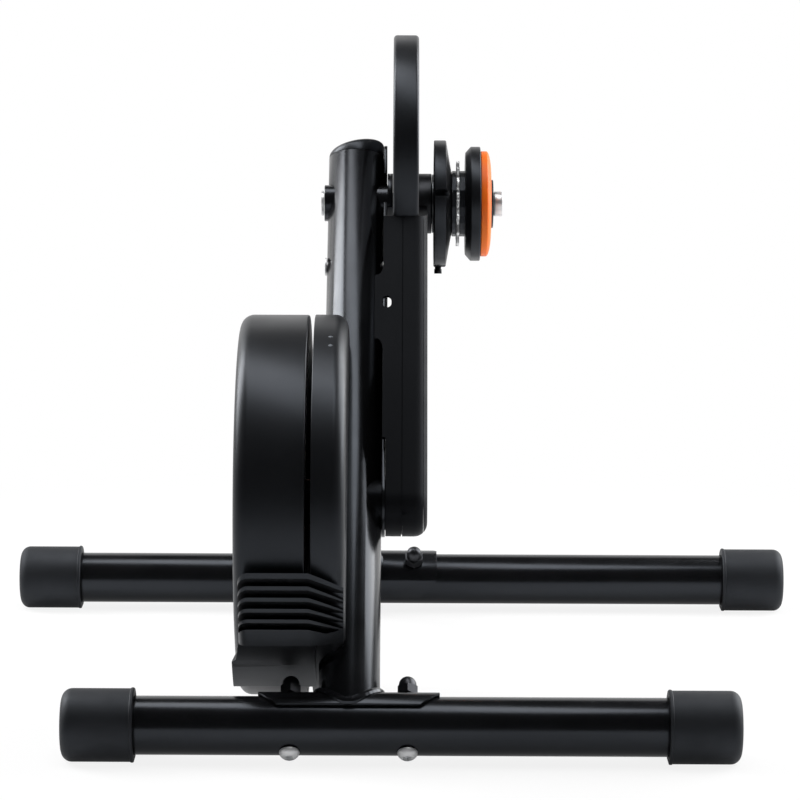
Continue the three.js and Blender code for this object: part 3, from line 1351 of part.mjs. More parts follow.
// Ribbed block: its envelope bends in at the left and slopes in at the right, and the floor of
// each slot follows that envelope
function coolingFins() {
  const { round, pitch } = fins;
  const [left, right, radius] = [finsLeft, finsRight, finsRadius];
  const bendAt = housingLeft - fins.bendBack;
  const envelope = turned([
    [left, overWheel], ...bend(left + round, radius - round, round, halfTurn, quarter),
    [bendAt, radius], [right, housingRadius + fins.rightRise], [right, onHousing],
    [housingLeft, onHousing], [housingLeft, overWheel],
  ], 2 * largeSides);
  const root = housingRadius + fins.rootRise;
  const rightRoot = housingRadius + fins.rightRootRise;
  const core = turned([
    [left - overrun, 0], [left - overrun, root - round / 2], [left + round / 2, root], [bendAt, root],
    [right, rightRoot], [right + overrun, rightRoot], [right + overrun, 0],
  ], 2 * largeSides);
  const roof = slab(fins.to, radius, radius / 2);
  const base = sector(fins.from - pitch, fins.from + fins.solid, left - overrun, right + overrun);
  const slots = [];
  for (let i = 0; i < fins.count - 1; i += 1) {
    slots.push(cut(slab(fins.to - (i + fins.firstShare) * pitch, fins.gap, 0), core, base));
  }
  const lip = common(
    pipe(radius - fins.lipDepth, radius + overrun, left - overrun, right + overrun, 2 * largeSides),
    slab(fins.lipAngle, fins.lipGroove, 0),
  );
  const whole = common(envelope, sector(fins.from, fins.to + 3 * pitch, left, right));
  return cut(whole, roof, ...slots, lip);
}

function addHousing(group) {
  piece(group, 'backing_plate', backingPlate(), 'blackPaint');
  piece(group, 'electronics_cover', electronicsCover(), 'blackPlastic');
  piece(group, 'circuit_board', circuitBoard(), 'circuitGreen');
  piece(group, 'status_light', lightPipe(), 'clearLight');
  piece(group, 'power_socket', powerSocket(), 'blackPlastic');
  piece(group, 'flywheel_guard', flywheelGuard(), 'blackPlastic');
  piece(group, 'cooling_fins', coolingFins(), 'blackPlastic');
}

addLeg(rearLeg, 'rear', leg.rearReach, rearSaddle, radians(tube.lean - quarter));
addLeg(frontLeg, 'front', leg.frontReach, frontSaddle, radians(quarter - strutLean));
addTube(tubeFrame);
addStrut(strutFrame);
addAxle(axleFrame);
addHub(axleFrame);
addFreehub(axleFrame);
addCogStack(axleFrame);
addBeltDrive(axleFrame);
addFlywheel(shaftFrame);
addBearings(shaftFrame);
addHousing(shaftFrame);

export default trainer;
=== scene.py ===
# %% [markdown]
# # Direct drive bike trainer
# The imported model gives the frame: where each part sits and what turns. This lesson dresses it
# part by part with finer meshes and finishes, and lights it as in a photo studio.
# Every length is in metres, and MM turns millimetres into them.

# %% Load the frame
import json
import math
import bpy
from mathutils import Matrix, Vector


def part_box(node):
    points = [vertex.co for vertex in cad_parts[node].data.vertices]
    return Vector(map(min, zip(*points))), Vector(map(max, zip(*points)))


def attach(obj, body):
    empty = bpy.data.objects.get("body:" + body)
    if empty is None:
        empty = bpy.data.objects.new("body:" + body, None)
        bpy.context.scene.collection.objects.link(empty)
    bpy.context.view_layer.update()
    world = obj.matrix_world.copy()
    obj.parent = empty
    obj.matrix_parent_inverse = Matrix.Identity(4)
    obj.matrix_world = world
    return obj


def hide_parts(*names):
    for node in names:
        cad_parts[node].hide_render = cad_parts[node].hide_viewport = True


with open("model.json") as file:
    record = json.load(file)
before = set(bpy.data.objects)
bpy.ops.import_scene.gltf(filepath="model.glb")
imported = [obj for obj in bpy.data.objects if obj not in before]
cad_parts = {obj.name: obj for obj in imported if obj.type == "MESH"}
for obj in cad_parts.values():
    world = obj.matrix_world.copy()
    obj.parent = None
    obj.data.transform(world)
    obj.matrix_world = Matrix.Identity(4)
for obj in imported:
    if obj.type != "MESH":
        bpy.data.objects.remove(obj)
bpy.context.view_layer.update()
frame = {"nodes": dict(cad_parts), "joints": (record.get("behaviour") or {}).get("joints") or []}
MM = 0.001
TURN = 2 * math.pi

# %% [markdown]
# ## Where things are
# The two spin joints give the centre lines of the flywheel shaft and of the hub axle. The boxes
# of the CAD nodes give the rest, so that no place is typed twice.

# %% Centre lines and boxes
def span(node, axis):
    """Lowest and highest place of a node along X, Y or Z."""
    low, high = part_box(node)
    place = "XYZ".index(axis)
    return low[place], high[place]


def middle(node, axis):
    low, high = span(node, axis)
    return (low + high) / 2


def extent(node, axis):
    low, high = span(node, axis)
    return high - low


def turned_at(place, angle, axis="X"):
    """Matrix that turns by an angle in radians about an axis, then moves to a place."""
    return Matrix.Translation(place) @ Matrix.Rotation(angle, 4, axis)


joints = {joint["name"]: joint for joint in frame["joints"]}
SHAFT = Vector(joints["flywheel_spin"]["pos_m"])
AXLE = Vector(joints["hub_spin"]["pos_m"])
LEAN = math.atan2(AXLE.z - SHAFT.z, AXLE.y - SHAFT.y)
SPACING = (AXLE - SHAFT).length
REAR_LEG = Vector((0, middle("rear_leg", "Y"), middle("rear_leg", "Z")))
FRONT_LEG = Vector((0, middle("front_leg", "Y"), middle("front_leg", "Z")))
LEG_RADIUS = span("rear_leg", "Z")[1] - REAR_LEG.z
TUBE_X = middle("main_tube", "X")
TUBE_RADIUS = span("main_tube", "X")[1] - TUBE_X
STRUT_RADIUS = extent("strut_tube", "X") / 2
STRUT_JOINS = 346 * MM  # how far up the main tube the strut's centre line meets it
BETWEEN_LEGS = FRONT_LEG.y - REAR_LEG.y
STRUT_LEAN = math.atan2(STRUT_JOINS * math.sin(LEAN), BETWEEN_LEGS - STRUT_JOINS * math.cos(LEAN))
on_tube = turned_at((TUBE_X, REAR_LEG.y, REAR_LEG.z), LEAN - TURN / 4)
on_strut = turned_at((TUBE_X, FRONT_LEG.y, FRONT_LEG.z), TURN / 4 - STRUT_LEAN)
print("shaft", SHAFT, "axle", AXLE, "lean", round(math.degrees(LEAN), 2))

# %% [markdown]
# ## Camera
# The photograph looks from behind and a little above, from far away, so edges stay nearly
# parallel. A long lens at that place gives the same flat view. The image is square.

# %% Camera
VIEW_DISTANCE = 2.379
VIEW_HEIGHT = 0.587
VIEW_SIDE = -0.0018
VIEW_PITCH = math.radians(9.25)
VIEW_ROLL = math.radians(0.25)
LENS_PIXELS = 3431
IMAGE_PIXELS = 800
SENSOR = 36

bpy.ops.object.camera_add(location=(VIEW_SIDE, -VIEW_DISTANCE, VIEW_HEIGHT))
camera = bpy.context.object
look = Matrix.Rotation(TURN / 4 - VIEW_PITCH, 4, "X") @ Matrix.Rotation(VIEW_ROLL, 4, "Z")
camera.matrix_world = Matrix.Translation(camera.location) @ look
camera.data.sensor_width = SENSOR
camera.data.lens = LENS_PIXELS * SENSOR / IMAGE_PIXELS
camera.data.clip_end = 100
bpy.context.scene.camera = camera
print("lens", round(camera.data.lens, 1), "mm")

# %% [markdown]
# ## Drawing and spinning
# A turned part is made as on a lathe: half of its outline is drawn by extruding one corner from
# place to place, and the outline is spun round the axis. A plane merged to its centre gives the
# first corner. Doubles nearer than TINY are merged.

# %% Draw an outline, spin it
TINY = 1e-6


def drawn(name, places):
    """A line through the places, left in edit mode."""
    bpy.ops.object.select_all(action="DESELECT")
    bpy.ops.mesh.primitive_plane_add(size=MM, location=places[0])
    piece = bpy.context.object
    piece.name = name
    bpy.ops.object.mode_set(mode="EDIT")
    bpy.ops.mesh.select_all(action="SELECT")
    bpy.ops.mesh.merge(type="CENTER")
    for here, there in zip(places, places[1:]):
        step = Vector(there) - Vector(here)
        bpy.ops.mesh.extrude_region_move(TRANSFORM_OT_translate={"value": step})
    bpy.ops.mesh.select_all(action="SELECT")
    bpy.ops.mesh.remove_doubles(threshold=TINY)
    return piece


def outward():
    """Merges doubles and turns all faces out, then leaves edit mode."""
    bpy.ops.mesh.select_all(action="SELECT")
    bpy.ops.mesh.remove_doubles(threshold=TINY)
    bpy.ops.mesh.delete_loose()
    bpy.ops.mesh.select_all(action="SELECT")
    bpy.ops.mesh.normals_make_consistent(inside=False)
    bpy.ops.object.mode_set(mode="OBJECT")


def spun(name, profile, centre=(0, 0, 0), axis="X", sides=96):
    """Turns a closed profile of (place along the axis, radius) round the axis through centre."""
    centre = Vector(centre)
    if axis == "X":
        places = [centre + Vector((along, radius, 0)) for along, radius in profile]
        direction = (1, 0, 0)
    else:
        places = [centre + Vector((radius, 0, along)) for along, radius in profile]
        direction = (0, 0, 1)
    piece = drawn(name, places)
    bpy.ops.mesh.spin(steps=sides, angle=TURN, center=centre, axis=direction)
    outward()
    return piece


def arc(centre_along, centre_radius, size, start, end, steps=6):
    """Corners of a profile along an arc, with angles in degrees."""
    corners = []
    for step in range(steps + 1):
        angle = math.radians(start + (end - start) * step / steps)
        corners.append((centre_along + size * math.cos(angle), centre_radius + size * math.sin(angle)))
    return corners


def ring(inner, outer, left, right):
    """Closed profile of a plain ring."""
    return [(left, inner), (left, outer), (right, outer), (right, inner), (left, inner)]


# %% [markdown]
# ## Pressing, trimming and rounding
# A plate starts as an outline that is filled and pulled along X. A straight cut is a bisect that
# is filled again. Holes and hollows are trimmed by other bodies with a Boolean, and a Bevel
# rounds the edges, because a real edge is never sharp and its rounding is what catches the light.

# %% Press, trim, round
def alone(piece):
    """Selects this piece only and makes it the active one."""
    bpy.ops.object.select_all(action="DESELECT")
    piece.select_set(True)
    bpy.context.view_layer.objects.active = piece


def filled(name, places, pull):
    """Closes a line through the places, fills it and pulls the face by a vector."""
    piece = drawn(name, places + places[:1])
    bpy.ops.mesh.edge_face_add()
    bpy.ops.mesh.extrude_region_move(TRANSFORM_OT_translate={"value": pull})
    outward()
    return piece


def pressed(name, outline, left, right):
    """A plate with an outline of (y, z), from one X to another."""
    return filled(name, [(left, y, z) for y, z in outline], (right - left, 0, 0))


def sliced(piece, place, normal):
    """Cuts off what lies beyond a plane and closes the cut."""
    alone(piece)
    bpy.ops.object.mode_set(mode="EDIT")
    bpy.ops.mesh.select_all(action="SELECT")
    bpy.ops.mesh.bisect(plane_co=place, plane_no=normal, use_fill=True, clear_outer=True)
    outward()
    return piece


def apply(piece, modifier):
    alone(piece)
    bpy.ops.object.modifier_apply(modifier=modifier.name)


def combined(piece, operation, *tools):
    """Applies a Boolean with each tool in turn, and removes the tool."""
    for tool in tools:
        modifier = piece.modifiers.new("combine", "BOOLEAN")
        modifier.operation = operation
        modifier.solver = "EXACT"
        modifier.object = tool
        apply(piece, modifier)
        bpy.data.objects.remove(tool)
    return piece


def rounded(piece, width, segments=3, angle=35):
    """Bevels the edges that are sharper than an angle in degrees."""
    modifier = piece.modifiers.new("round", "BEVEL")
    modifier.width = width
    modifier.segments = segments
    modifier.limit_method = "ANGLE"
    modifier.angle_limit = math.radians(angle)
    apply(piece, modifier)
    return piece


def placed(piece, matrix):
    """Moves a piece by a matrix and puts the move into its mesh."""
    piece.matrix_world = matrix @ piece.matrix_world
    alone(piece)
    bpy.ops.object.transform_apply(location=True, rotation=True, scale=True)
    return piece


def copied(piece, name, matrix):
    """A copy with its own mesh, moved by a matrix. A mirrored copy has its faces turned out."""
    twin = piece.copy()
    twin.data = piece.data.copy()
    twin.name = name
    bpy.context.collection.objects.link(twin)
    placed(twin, matrix)
    if matrix.determinant() < 0:
        bpy.ops.object.mode_set(mode="EDIT")
        outward()
    return twin


SMOOTH_BELOW = math.radians(32)


def finished(piece, finish, body, *nodes):
    """Smooths a piece, gives it its finish and lets it stand for CAD nodes on their body."""
    placed(piece, Matrix())
    bpy.ops.object.shade_smooth_by_angle(angle=SMOOTH_BELOW)
    piece.data.materials.clear()
    piece.data.materials.append(finish["material"])
    if nodes:
        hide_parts(*nodes)
    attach(piece, body)
    print(piece.name, len(piece.data.polygons), "faces")


# %% [markdown]
# ## Finishes
# Each finish starts from the real material. One function adds a shader node with its settings
# and links, and another turns an sRGB hex colour into Blender's linear colour.

# %% Helpers for finishes
def linear(hex_colour):
    """Linear RGBA of an sRGB colour such as "1b1c1e"."""
    parts = [int(hex_colour[i:i + 2], 16) / 255 for i in (0, 2, 4)]
    return tuple(c / 12.92 if c <= 0.04045 else ((c + 0.055) / 1.055) ** 2.4 for c in parts) + (1.0,)


def added(tree, kind, settings=None, values=None, links=None):
    """Adds a node, then sets its properties, its input values and its links."""
    made = tree.nodes.new(kind)
    for name, value in (settings or {}).items():
        setattr(made, name, value)
    for name, value in (values or {}).items():
        made.inputs[name].default_value = value
    for name, output in (links or {}).items():
        tree.links.new(output, made.inputs[name])
    return made


def begun(name, slot, roughness, metallic=0.0, ior=1.5, colour=None):
    """A material with its shader and the object's own coordinates."""
    material = bpy.data.materials.new(name)
    material.use_nodes = True
    tree = material.node_tree
    shader = tree.nodes["Principled BSDF"]
    shader.inputs["Roughness"].default_value = roughness
    shader.inputs["Metallic"].default_value = metallic
    if not metallic:
        shader.inputs["IOR"].default_value = ior
        # The reflections of every non-metal finish are painted slightly cool: a painted cool tint that stands
        # in for the lamps' light.
        shader.inputs["Specular Tint"].default_value = linear("dce5f3")  # a soft, slightly cool sheen
    if colour:
        shader.inputs["Base Color"].default_value = linear(colour)
    place = added(tree, "ShaderNodeTexCoord").outputs["Object"]
    return {"material": material, "slot": slot, "tree": tree, "shader": shader, "place": place}


def grain(finish, size, height, detail=2.0):
    """Fine bumps of one real size, such as the orange peel of a coating."""
    tree = finish["tree"]
    noise = added(tree, "ShaderNodeTexNoise", values={"Scale": 1 / size, "Detail": detail},
                  links={"Vector": finish["place"]})
    bump = added(tree, "ShaderNodeBump", values={"Strength": 1.0, "Distance": height},
                 links={"Height": noise.outputs["Fac"]})
    tree.links.new(bump.outputs["Normal"], finish["shader"].inputs["Normal"])


def varied(finish, size, socket, low, high):
    """Slow changes of a value or colour over the surface, as from handling and dust."""
    tree = finish["tree"]
    noise = added(tree, "ShaderNodeTexNoise", values={"Scale": 1 / size, "Detail": 4.0},
                  links={"Vector": finish["place"]})
    if isinstance(low, str):
        ramp = added(tree, "ShaderNodeValToRGB", links={"Fac": noise.outputs["Fac"]})
        ramp.color_ramp.elements[0].color = linear(low)
        ramp.color_ramp.elements[1].color = linear(high)
        ramp.color_ramp.elements[0].position = 0.35
        ramp.color_ramp.elements[1].position = 0.65
        tree.links.new(ramp.outputs["Color"], finish["shader"].inputs[socket])
    else:
        limits = {"From Min": 0.3, "From Max": 0.7, "To Min": low, "To Max": high}
        spread = added(tree, "ShaderNodeMapRange", values=limits, links={"Value": noise.outputs["Fac"]})
        tree.links.new(spread.outputs["Result"], finish["shader"].inputs[socket])


def turned_marks(finish, centre, pitch, height):
    """Fine rings round the X axis through centre, as a lathe tool leaves on faces and rims."""
    tree = finish["tree"]
    shifted = added(tree, "ShaderNodeVectorMath", {"operation": "SUBTRACT"}, links={0: finish["place"]})
    shifted.inputs[1].default_value = (0, centre.y, centre.z)
    apart = added(tree, "ShaderNodeSeparateXYZ", links={"Vector": shifted.outputs["Vector"]})
    flat = added(tree, "ShaderNodeCombineXYZ", links={"Y": apart.outputs["Y"], "Z": apart.outputs["Z"]})
    reach = added(tree, "ShaderNodeVectorMath", {"operation": "LENGTH"}, links={0: flat.outputs["Vector"]})
    total = added(tree, "ShaderNodeMath", {"operation": "ADD"},
                  links={0: reach.outputs["Value"], 1: apart.outputs["X"]})
    scaled = added(tree, "ShaderNodeMath", {"operation": "MULTIPLY"}, {1: TURN / pitch},
                   {0: total.outputs["Value"]})
    wave = added(tree, "ShaderNodeMath", {"operation": "SINE"}, links={0: scaled.outputs["Value"]})
    bump = added(tree, "ShaderNodeBump", values={"Strength": 1.0, "Distance": height},
                 links={"Height": wave.outputs["Value"]})
    tree.links.new(bump.outputs["Normal"], finish["shader"].inputs["Normal"])


# %% [markdown]
# The frame tubes are mild steel with a baked satin powder coat. The powder melts into a skin
# with a faint orange peel, about a millimetre and a half from crest to crest, so highlights are
# soft and slightly uneven. The cast flywheel has a thinner, smoother sprayed coat.

# %% Painted metal
powder_coat = begun("satin powder coat", "satin_black_paint", 0.23, ior=1.45)
varied(powder_coat, 60 * MM, "Base Color", "0a0a0b", "0f0f10")
varied(powder_coat, 25 * MM, "Roughness", 0.2, 0.26)
grain(powder_coat, 1.5 * MM, 0.02 * MM)

wheel_coat = begun("satin sprayed cast iron", "cast_wheel_paint", 0.36, ior=1.45)
varied(wheel_coat, 90 * MM, "Base Color", "0c0c0d", "111113")
varied(wheel_coat, 40 * MM, "Roughness", 0.33, 0.4)
grain(wheel_coat, 1.1 * MM, 0.012 * MM)

# %% [markdown]
# The covers are injection moulded ABS from a spark eroded tool. Its texture is about a third of
# a millimetre wide, too fine to show here, so it is drawn a little coarser. It scatters the
# light, and the black looks softer than on the painted tubes. The two belt covers are rougher
# than the hood, so they look duller. Their darker colour and weaker reflections are painted shade.

# %% Moulded plastic and rubber
moulded = begun("textured moulded ABS", "black_plastic", 0.38, ior=1.46)
varied(moulded, 70 * MM, "Base Color", "0b0b0c", "101012")
varied(moulded, 30 * MM, "Roughness", 0.34, 0.42)
grain(moulded, 0.8 * MM, 0.03 * MM, 3.0)

# The belt covers' ABS is rougher than the hood's. Its darker base colour and low reflection level are painted
# shade.
shaded_cover_shell = begun("coarse ABS with painted shade", "black_plastic", 0.56, ior=1.46)
shaded_cover_shell["shader"].inputs["Specular IOR Level"].default_value = 0.18
varied(shaded_cover_shell, 70 * MM, "Base Color", "070708", "0a0a0c")
varied(shaded_cover_shell, 30 * MM, "Roughness", 0.52, 0.6)
grain(shaded_cover_shell, 0.9 * MM, 0.04 * MM, 3.0)

foot_rubber = begun("moulded foot rubber", "black_rubber", 0.62, ior=1.5)
varied(foot_rubber, 35 * MM, "Base Color", "0c0c0d", "121213")
varied(foot_rubber, 20 * MM, "Roughness", 0.56, 0.68)
grain(foot_rubber, 1.2 * MM, 0.03 * MM, 3.0)

orange_cap = begun("orange moulded nylon", "orange_plastic", 0.5, ior=1.46)
varied(orange_cap, 30 * MM, "Base Color", "ff6e00", "ff7a02")
grain(orange_cap, 0.9 * MM, 0.012 * MM)

# %% [markdown]
# Small steel parts are turned on a lathe. Zinc plated ones stay bright, though the clear film
# on the zinc makes them a little less than full metal. Blackened ones keep the same fine rings
# under a dark oxide. The real rings are a few hundredths of a millimetre apart, and here they
# are drawn about half a millimetre apart so that they show. A pressed bolt has no rings.

# %% Turned steel
RING_PITCH = 0.5 * MM
zinc = begun("zinc plated turned steel", "bright_steel", 0.36, 0.75, colour="dcddde")
turned_marks(zinc, AXLE, RING_PITCH, 0.004 * MM)
varied(zinc, 12 * MM, "Roughness", 0.3, 0.42)

plated = begun("zinc plated pressed steel", "bright_steel", 0.44, 0.7, colour="e2e3e4")
grain(plated, 1.5 * MM, 0.01 * MM)
varied(plated, 10 * MM, "Roughness", 0.38, 0.5)

blackened = begun("black oxide turned steel", "black_oxide_steel", 0.36, 1.0, colour="3c3d40")
turned_marks(blackened, AXLE, RING_PITCH, 0.004 * MM)
varied(blackened, 15 * MM, "Roughness", 0.32, 0.44)

ground = begun("ground bare steel", "ground_steel", 0.3, 1.0, colour="84878b")
turned_marks(ground, AXLE, 0.4 * MM, 0.003 * MM)
varied(ground, 15 * MM, "Roughness", 0.26, 0.36)

# %% [markdown]
# A few finishes are for what the covers hide or nearly hide: enamelled copper wire, the solder
# mask of the circuit board, and the clear light pipe behind the two status lights.

# %% Finishes of hidden parts
copper = begun("enamelled copper wire", "copper_winding", 0.34, 1.0, colour="b3602f")
varied(copper, 4 * MM, "Roughness", 0.28, 0.45)
grain(copper, 1.0 * MM, 0.05 * MM)

solder_mask = begun("green solder mask", "circuit_board_green", 0.4, colour="1d5a35")
varied(solder_mask, 6 * MM, "Base Color", "1a5230", "22653c")
grain(solder_mask, 2 * MM, 0.01 * MM)

light_pipe = begun("clear moulded acrylic", "clear_light_pipe", 0.2, ior=1.49, colour="63676c")
grain(light_pipe, 1.5 * MM, 0.01 * MM)

belt_rubber = begun("ribbed belt rubber", "black_rubber", 0.7, colour="151515")
varied(belt_rubber, 8 * MM, "Roughness", 0.62, 0.78)
grain(belt_rubber, 0.9 * MM, 0.03 * MM, 3.0)

for name, finish in {
    "drive_belt": belt_rubber, "brake_magnet": copper, "circuit_board": solder_mask,
    "one_way_clutch": ground, "hub_bearing_left": ground, "hub_bearing_right": ground,
    "freehub_bearing_inner": ground, "freehub_bearing_outer": ground, "flywheel_bearing_left": ground,
    "flywheel_bearing_right": ground, "flywheel_pulley": blackened, "pulley_nut": blackened,
    "backing_plate": powder_coat, "inner_cog_spacer": moulded, "outer_cog_spacer": moulded,
}.items():
    node = frame["nodes"][name]
    node.data.materials.clear()
    node.data.materials.append(finish["material"])
print(len(bpy.data.materials), "materials")

# %% [markdown]
# ## Legs and feet
# A leg is a piece of steel tube, and its foot is a thick rubber cap with a lip at the open end.
# Both are turned shapes. The cap has a narrow flat below, where it stands on the floor.

# %% Legs
LEG_WALL = 2 * MM
LEG_EDGE = 0.4 * MM
for name, centre in (("rear_leg", REAR_LEG), ("front_leg", FRONT_LEG)):
    left, right = span(name, "X")
    leg = spun("steel_" + name, ring(LEG_RADIUS - LEG_WALL, LEG_RADIUS, left, right), centre)
    rounded(leg, LEG_EDGE)
    finished(leg, powder_coat, "frame", name)

# %% Feet
FOOT_LENGTH = extent("rear_foot_right", "X")
LIP_RADIUS = REAR_LEG.y - span("rear_foot_right", "Y")[0]
FOOT_BORE = LEG_RADIUS + 0.3 * MM
FOOT_BODY = LIP_RADIUS - 0.6 * MM
FOOT_EDGE = 7 * MM
FOOT_LIP = 2.4 * MM
FOOT_FLAT = 0.05 * MM  # height at which the round is cut off, to stand flat
END_WALL = 6 * MM

foot = spun("rubber_foot", [
    (0, FOOT_BORE), (0, LIP_RADIUS - 0.5 * MM), (0.5 * MM, LIP_RADIUS), (FOOT_LIP - 0.6 * MM, LIP_RADIUS),
    (FOOT_LIP, FOOT_BODY),
    *arc(FOOT_LENGTH - FOOT_EDGE, FOOT_BODY - FOOT_EDGE, FOOT_EDGE, 90, 0, 8),
    (FOOT_LENGTH, 0), (FOOT_LENGTH - END_WALL, 0), (FOOT_LENGTH - END_WALL, FOOT_BORE), (0, FOOT_BORE),
], REAR_LEG)
sliced(foot, (0, 0, FOOT_FLAT), (0, 0, -1))
placed(foot, Matrix())
for name, centre in (("rear", REAR_LEG), ("front", FRONT_LEG)):
    for side, turn in (("right", 1), ("left", -1)):
        node = f"{name}_foot_{side}"
        reach = span(node, "X")[1] if turn > 0 else -span(node, "X")[0]
        along = Matrix.Translation((reach - FOOT_LENGTH, centre.y - REAR_LEG.y, 0))
        twin = copied(foot, "rubber_" + node, Matrix.Scale(turn, 4, (1, 0, 0)) @ along)
        finished(twin, foot_rubber, "frame", node)
bpy.data.objects.remove(foot)

# %% [markdown]
# ## Saddles
# Each saddle is a sheet bent over the leg, its lower corners cut off, and the tube is welded to
# it. The weld bead is a small ridge along the line where round meets round. A curve whose
# thickness changes a little gives the faint ripples that the welder's steps leave.

# %% Saddle sheet and weld bead
SHEET = 2.5 * MM
SADDLE_INNER = LEG_RADIUS + 0.3 * MM
SADDLE_OUTER = SADDLE_INNER + SHEET
SADDLE_HALF_ANGLE = 80
SADDLE_CUT = 12.5 * MM
BEAD = 3.0 * MM
BEAD_STEPS = 132
BEAD_RIPPLES = 44
RIPPLE_SHARE = 0.035  # how much the bead's thickness changes


def saddle_sheet(name, length):
    """The bent sheet with its four corners cut, standing on a leg along X."""
    start, end = 90 - SADDLE_HALF_ANGLE, 90 + SADDLE_HALF_ANGLE
    outline = arc(0, 0, SADDLE_OUTER, start, end, 36) + arc(0, 0, SADDLE_INNER, end, start, 36)
    sheet = pressed(name, outline, -length / 2, length / 2)
    edge = SADDLE_OUTER * math.cos(math.radians(SADDLE_HALF_ANGLE))
    for side in (-1, 1):
        sliced(sheet, (side * (length / 2 - SADDLE_CUT), 0, edge), (side, 0, -1))
    return rounded(sheet, 0.45 * MM, 2, 50)


def weld_bead(name, radius):
    """A faintly rippled bead where a tube of this radius meets the saddle."""
    curve = bpy.data.curves.new(name, "CURVE")
    curve.dimensions = "3D"
    curve.bevel_depth = BEAD
    curve.bevel_resolution = 3
    line = curve.splines.new("POLY")
    line.points.add(BEAD_STEPS - 1)
    line.use_cyclic_u = True
    for step, point in enumerate(line.points):
        angle = TURN * step / BEAD_STEPS
        across = (radius + BEAD / 3) * math.sin(angle)
        along = (radius + BEAD / 3) * math.cos(angle)
        height = math.sqrt(SADDLE_OUTER ** 2 - min(abs(across), SADDLE_OUTER - MM) ** 2)
        point.co = (along, across, height, 1)
        point.radius = 1 + RIPPLE_SHARE * math.sin(BEAD_RIPPLES * angle)
    bead = bpy.data.objects.new(name, curve)
    bpy.context.collection.objects.link(bead)
    alone(bead)
    bpy.ops.object.convert(target="MESH")
    return bpy.context.object


def joined(piece, other):
    """One object from two, their meshes side by side."""
    alone(piece)
    other.select_set(True)
    bpy.ops.object.join()
    return piece


for name, radius, matrix in (
    ("rear_saddle", TUBE_RADIUS, on_tube),
    ("front_saddle", STRUT_RADIUS, on_strut),
):
    saddle = joined(saddle_sheet("welded_" + name, extent(name, "X")), weld_bead("bead", radius))
    placed(saddle, matrix)
    finished(saddle, powder_coat, "frame", name)

# %% [markdown]
# ## Leg bolts and acorn nuts
# A button head bolt goes through the leg and the saddle, and an acorn nut closes it. One of each
# is made standing on its seat, then copied. The hexagons come from six-sided cylinders.

# %% Bolts and nuts
BOLT_HEAD = 6.6 * MM
BOLT_HEIGHT = 4.6 * MM
BOLT_SHANK = 4 * MM
BOLT_SOCKET = 2.9 * MM
NUT_FLATS = 13 * MM
NUT_HEX = 6.5 * MM
NUT_HEIGHT = 14.5 * MM
NUT_CROWN = 5.8 * MM
SEAT = 0.3 * MM


def hexagon(name, flats, low, high):
    """A six-sided bar along Z, measured across its flats."""
    bpy.ops.object.select_all(action="DESELECT")
    bpy.ops.mesh.primitive_cylinder_add(
        vertices=6, radius=flats / 2 / math.cos(math.radians(30)), depth=high - low,
        location=(0, 0, (low + high) / 2))
    rod = bpy.context.object
    rod.name = name
    return rod


def nut_body(name, low, high, flats, bore, face, corner, edge, sides):
    """A hexagon along Z, its corners turned down from one radius to another at both ends."""
    body = hexagon(name, flats, low, high)
    shape = spun("chamfer", [
        (low, bore), (low, face), (low + edge, corner), (high - edge, corner), (high, face),
        (high, bore), (low, bore),
    ], axis="Z", sides=sides)
    return combined(body, "INTERSECT", shape)


under = -LEG_RADIUS - SEAT
top = under - BOLT_HEIGHT
bolt = spun("button_bolt", [
    (0, 0), (0, BOLT_SHANK), (under, BOLT_SHANK), (under, BOLT_HEAD), (under - 0.8 * MM, BOLT_HEAD),
    (under - 2.2 * MM, BOLT_HEAD * 0.93), (under - 3.4 * MM, BOLT_HEAD * 0.78),
    (top + 0.25 * MM, BOLT_HEAD * 0.6), (top, BOLT_HEAD * 0.5), (top, 0), (0, 0),
], axis="Z", sides=48)
combined(bolt, "DIFFERENCE", hexagon("socket", 2 * BOLT_SOCKET, top - MM, top + 2.6 * MM))

base = SADDLE_OUTER + SEAT
nut = nut_body(
    "acorn_nut", base, base + NUT_HEX, NUT_FLATS, bore=0, face=NUT_FLATS * 0.5,
    corner=NUT_FLATS * 0.6, edge=0.8 * MM, sides=48)
crown = spun("crown", [
    (base + MM, 0), (base + MM, NUT_CROWN),
    *arc(base + NUT_HEIGHT - NUT_CROWN, 0, NUT_CROWN, 90, 0), (base + MM, 0),
], axis="Z", sides=48)
combined(nut, "UNION", crown)

for name, matrix in (("rear", on_tube), ("front", on_strut)):
    for side in ("left", "right"):
        along = Matrix.Translation((middle(f"{name}_bolt_{side}", "X") - TUBE_X, 0, 0))
        twin = copied(bolt, f"plated_{name}_bolt_{side}", matrix @ along)
        finished(twin, plated, "frame", f"{name}_bolt_{side}")
        twin = copied(nut, f"domed_{name}_nut_{side}", matrix @ along)
        finished(twin, blackened, "frame", f"{name}_nut_{side}")
bpy.data.objects.remove(bolt)
bpy.data.objects.remove(nut)

# %% [markdown]
# ## Main tube, strut and side plate
# The main tube is coped to sit on its saddle, drilled for the two cross sleeves and cut off at a
# slant. The strut is coped at both ends. They start as cylinders and are trimmed.

# %% Tubes
TUBE_LENGTH = 475 * MM
SHAFT_ALONG = (SHAFT - REAR_LEG).length
AXLE_ALONG = (AXLE - REAR_LEG).length
BOLT_ALONG = 376 * MM
END_TILT = math.radians(18.4)
SLEEVE_HOLE = 17.3 * MM
AXLE_HOLE = 13.3 * MM
CUT_OFF = 30 * MM  # the tube starts this much longer and loses it to the slanted cut


def bar(name, radius, low, high, axis="Z", centre=(0, 0, 0), sides=128):
    """A solid cylinder, turned on both ends."""
    return spun(name, [(low, 0), (low, radius), (high, radius), (high, 0), (low, 0)], centre, axis, sides)


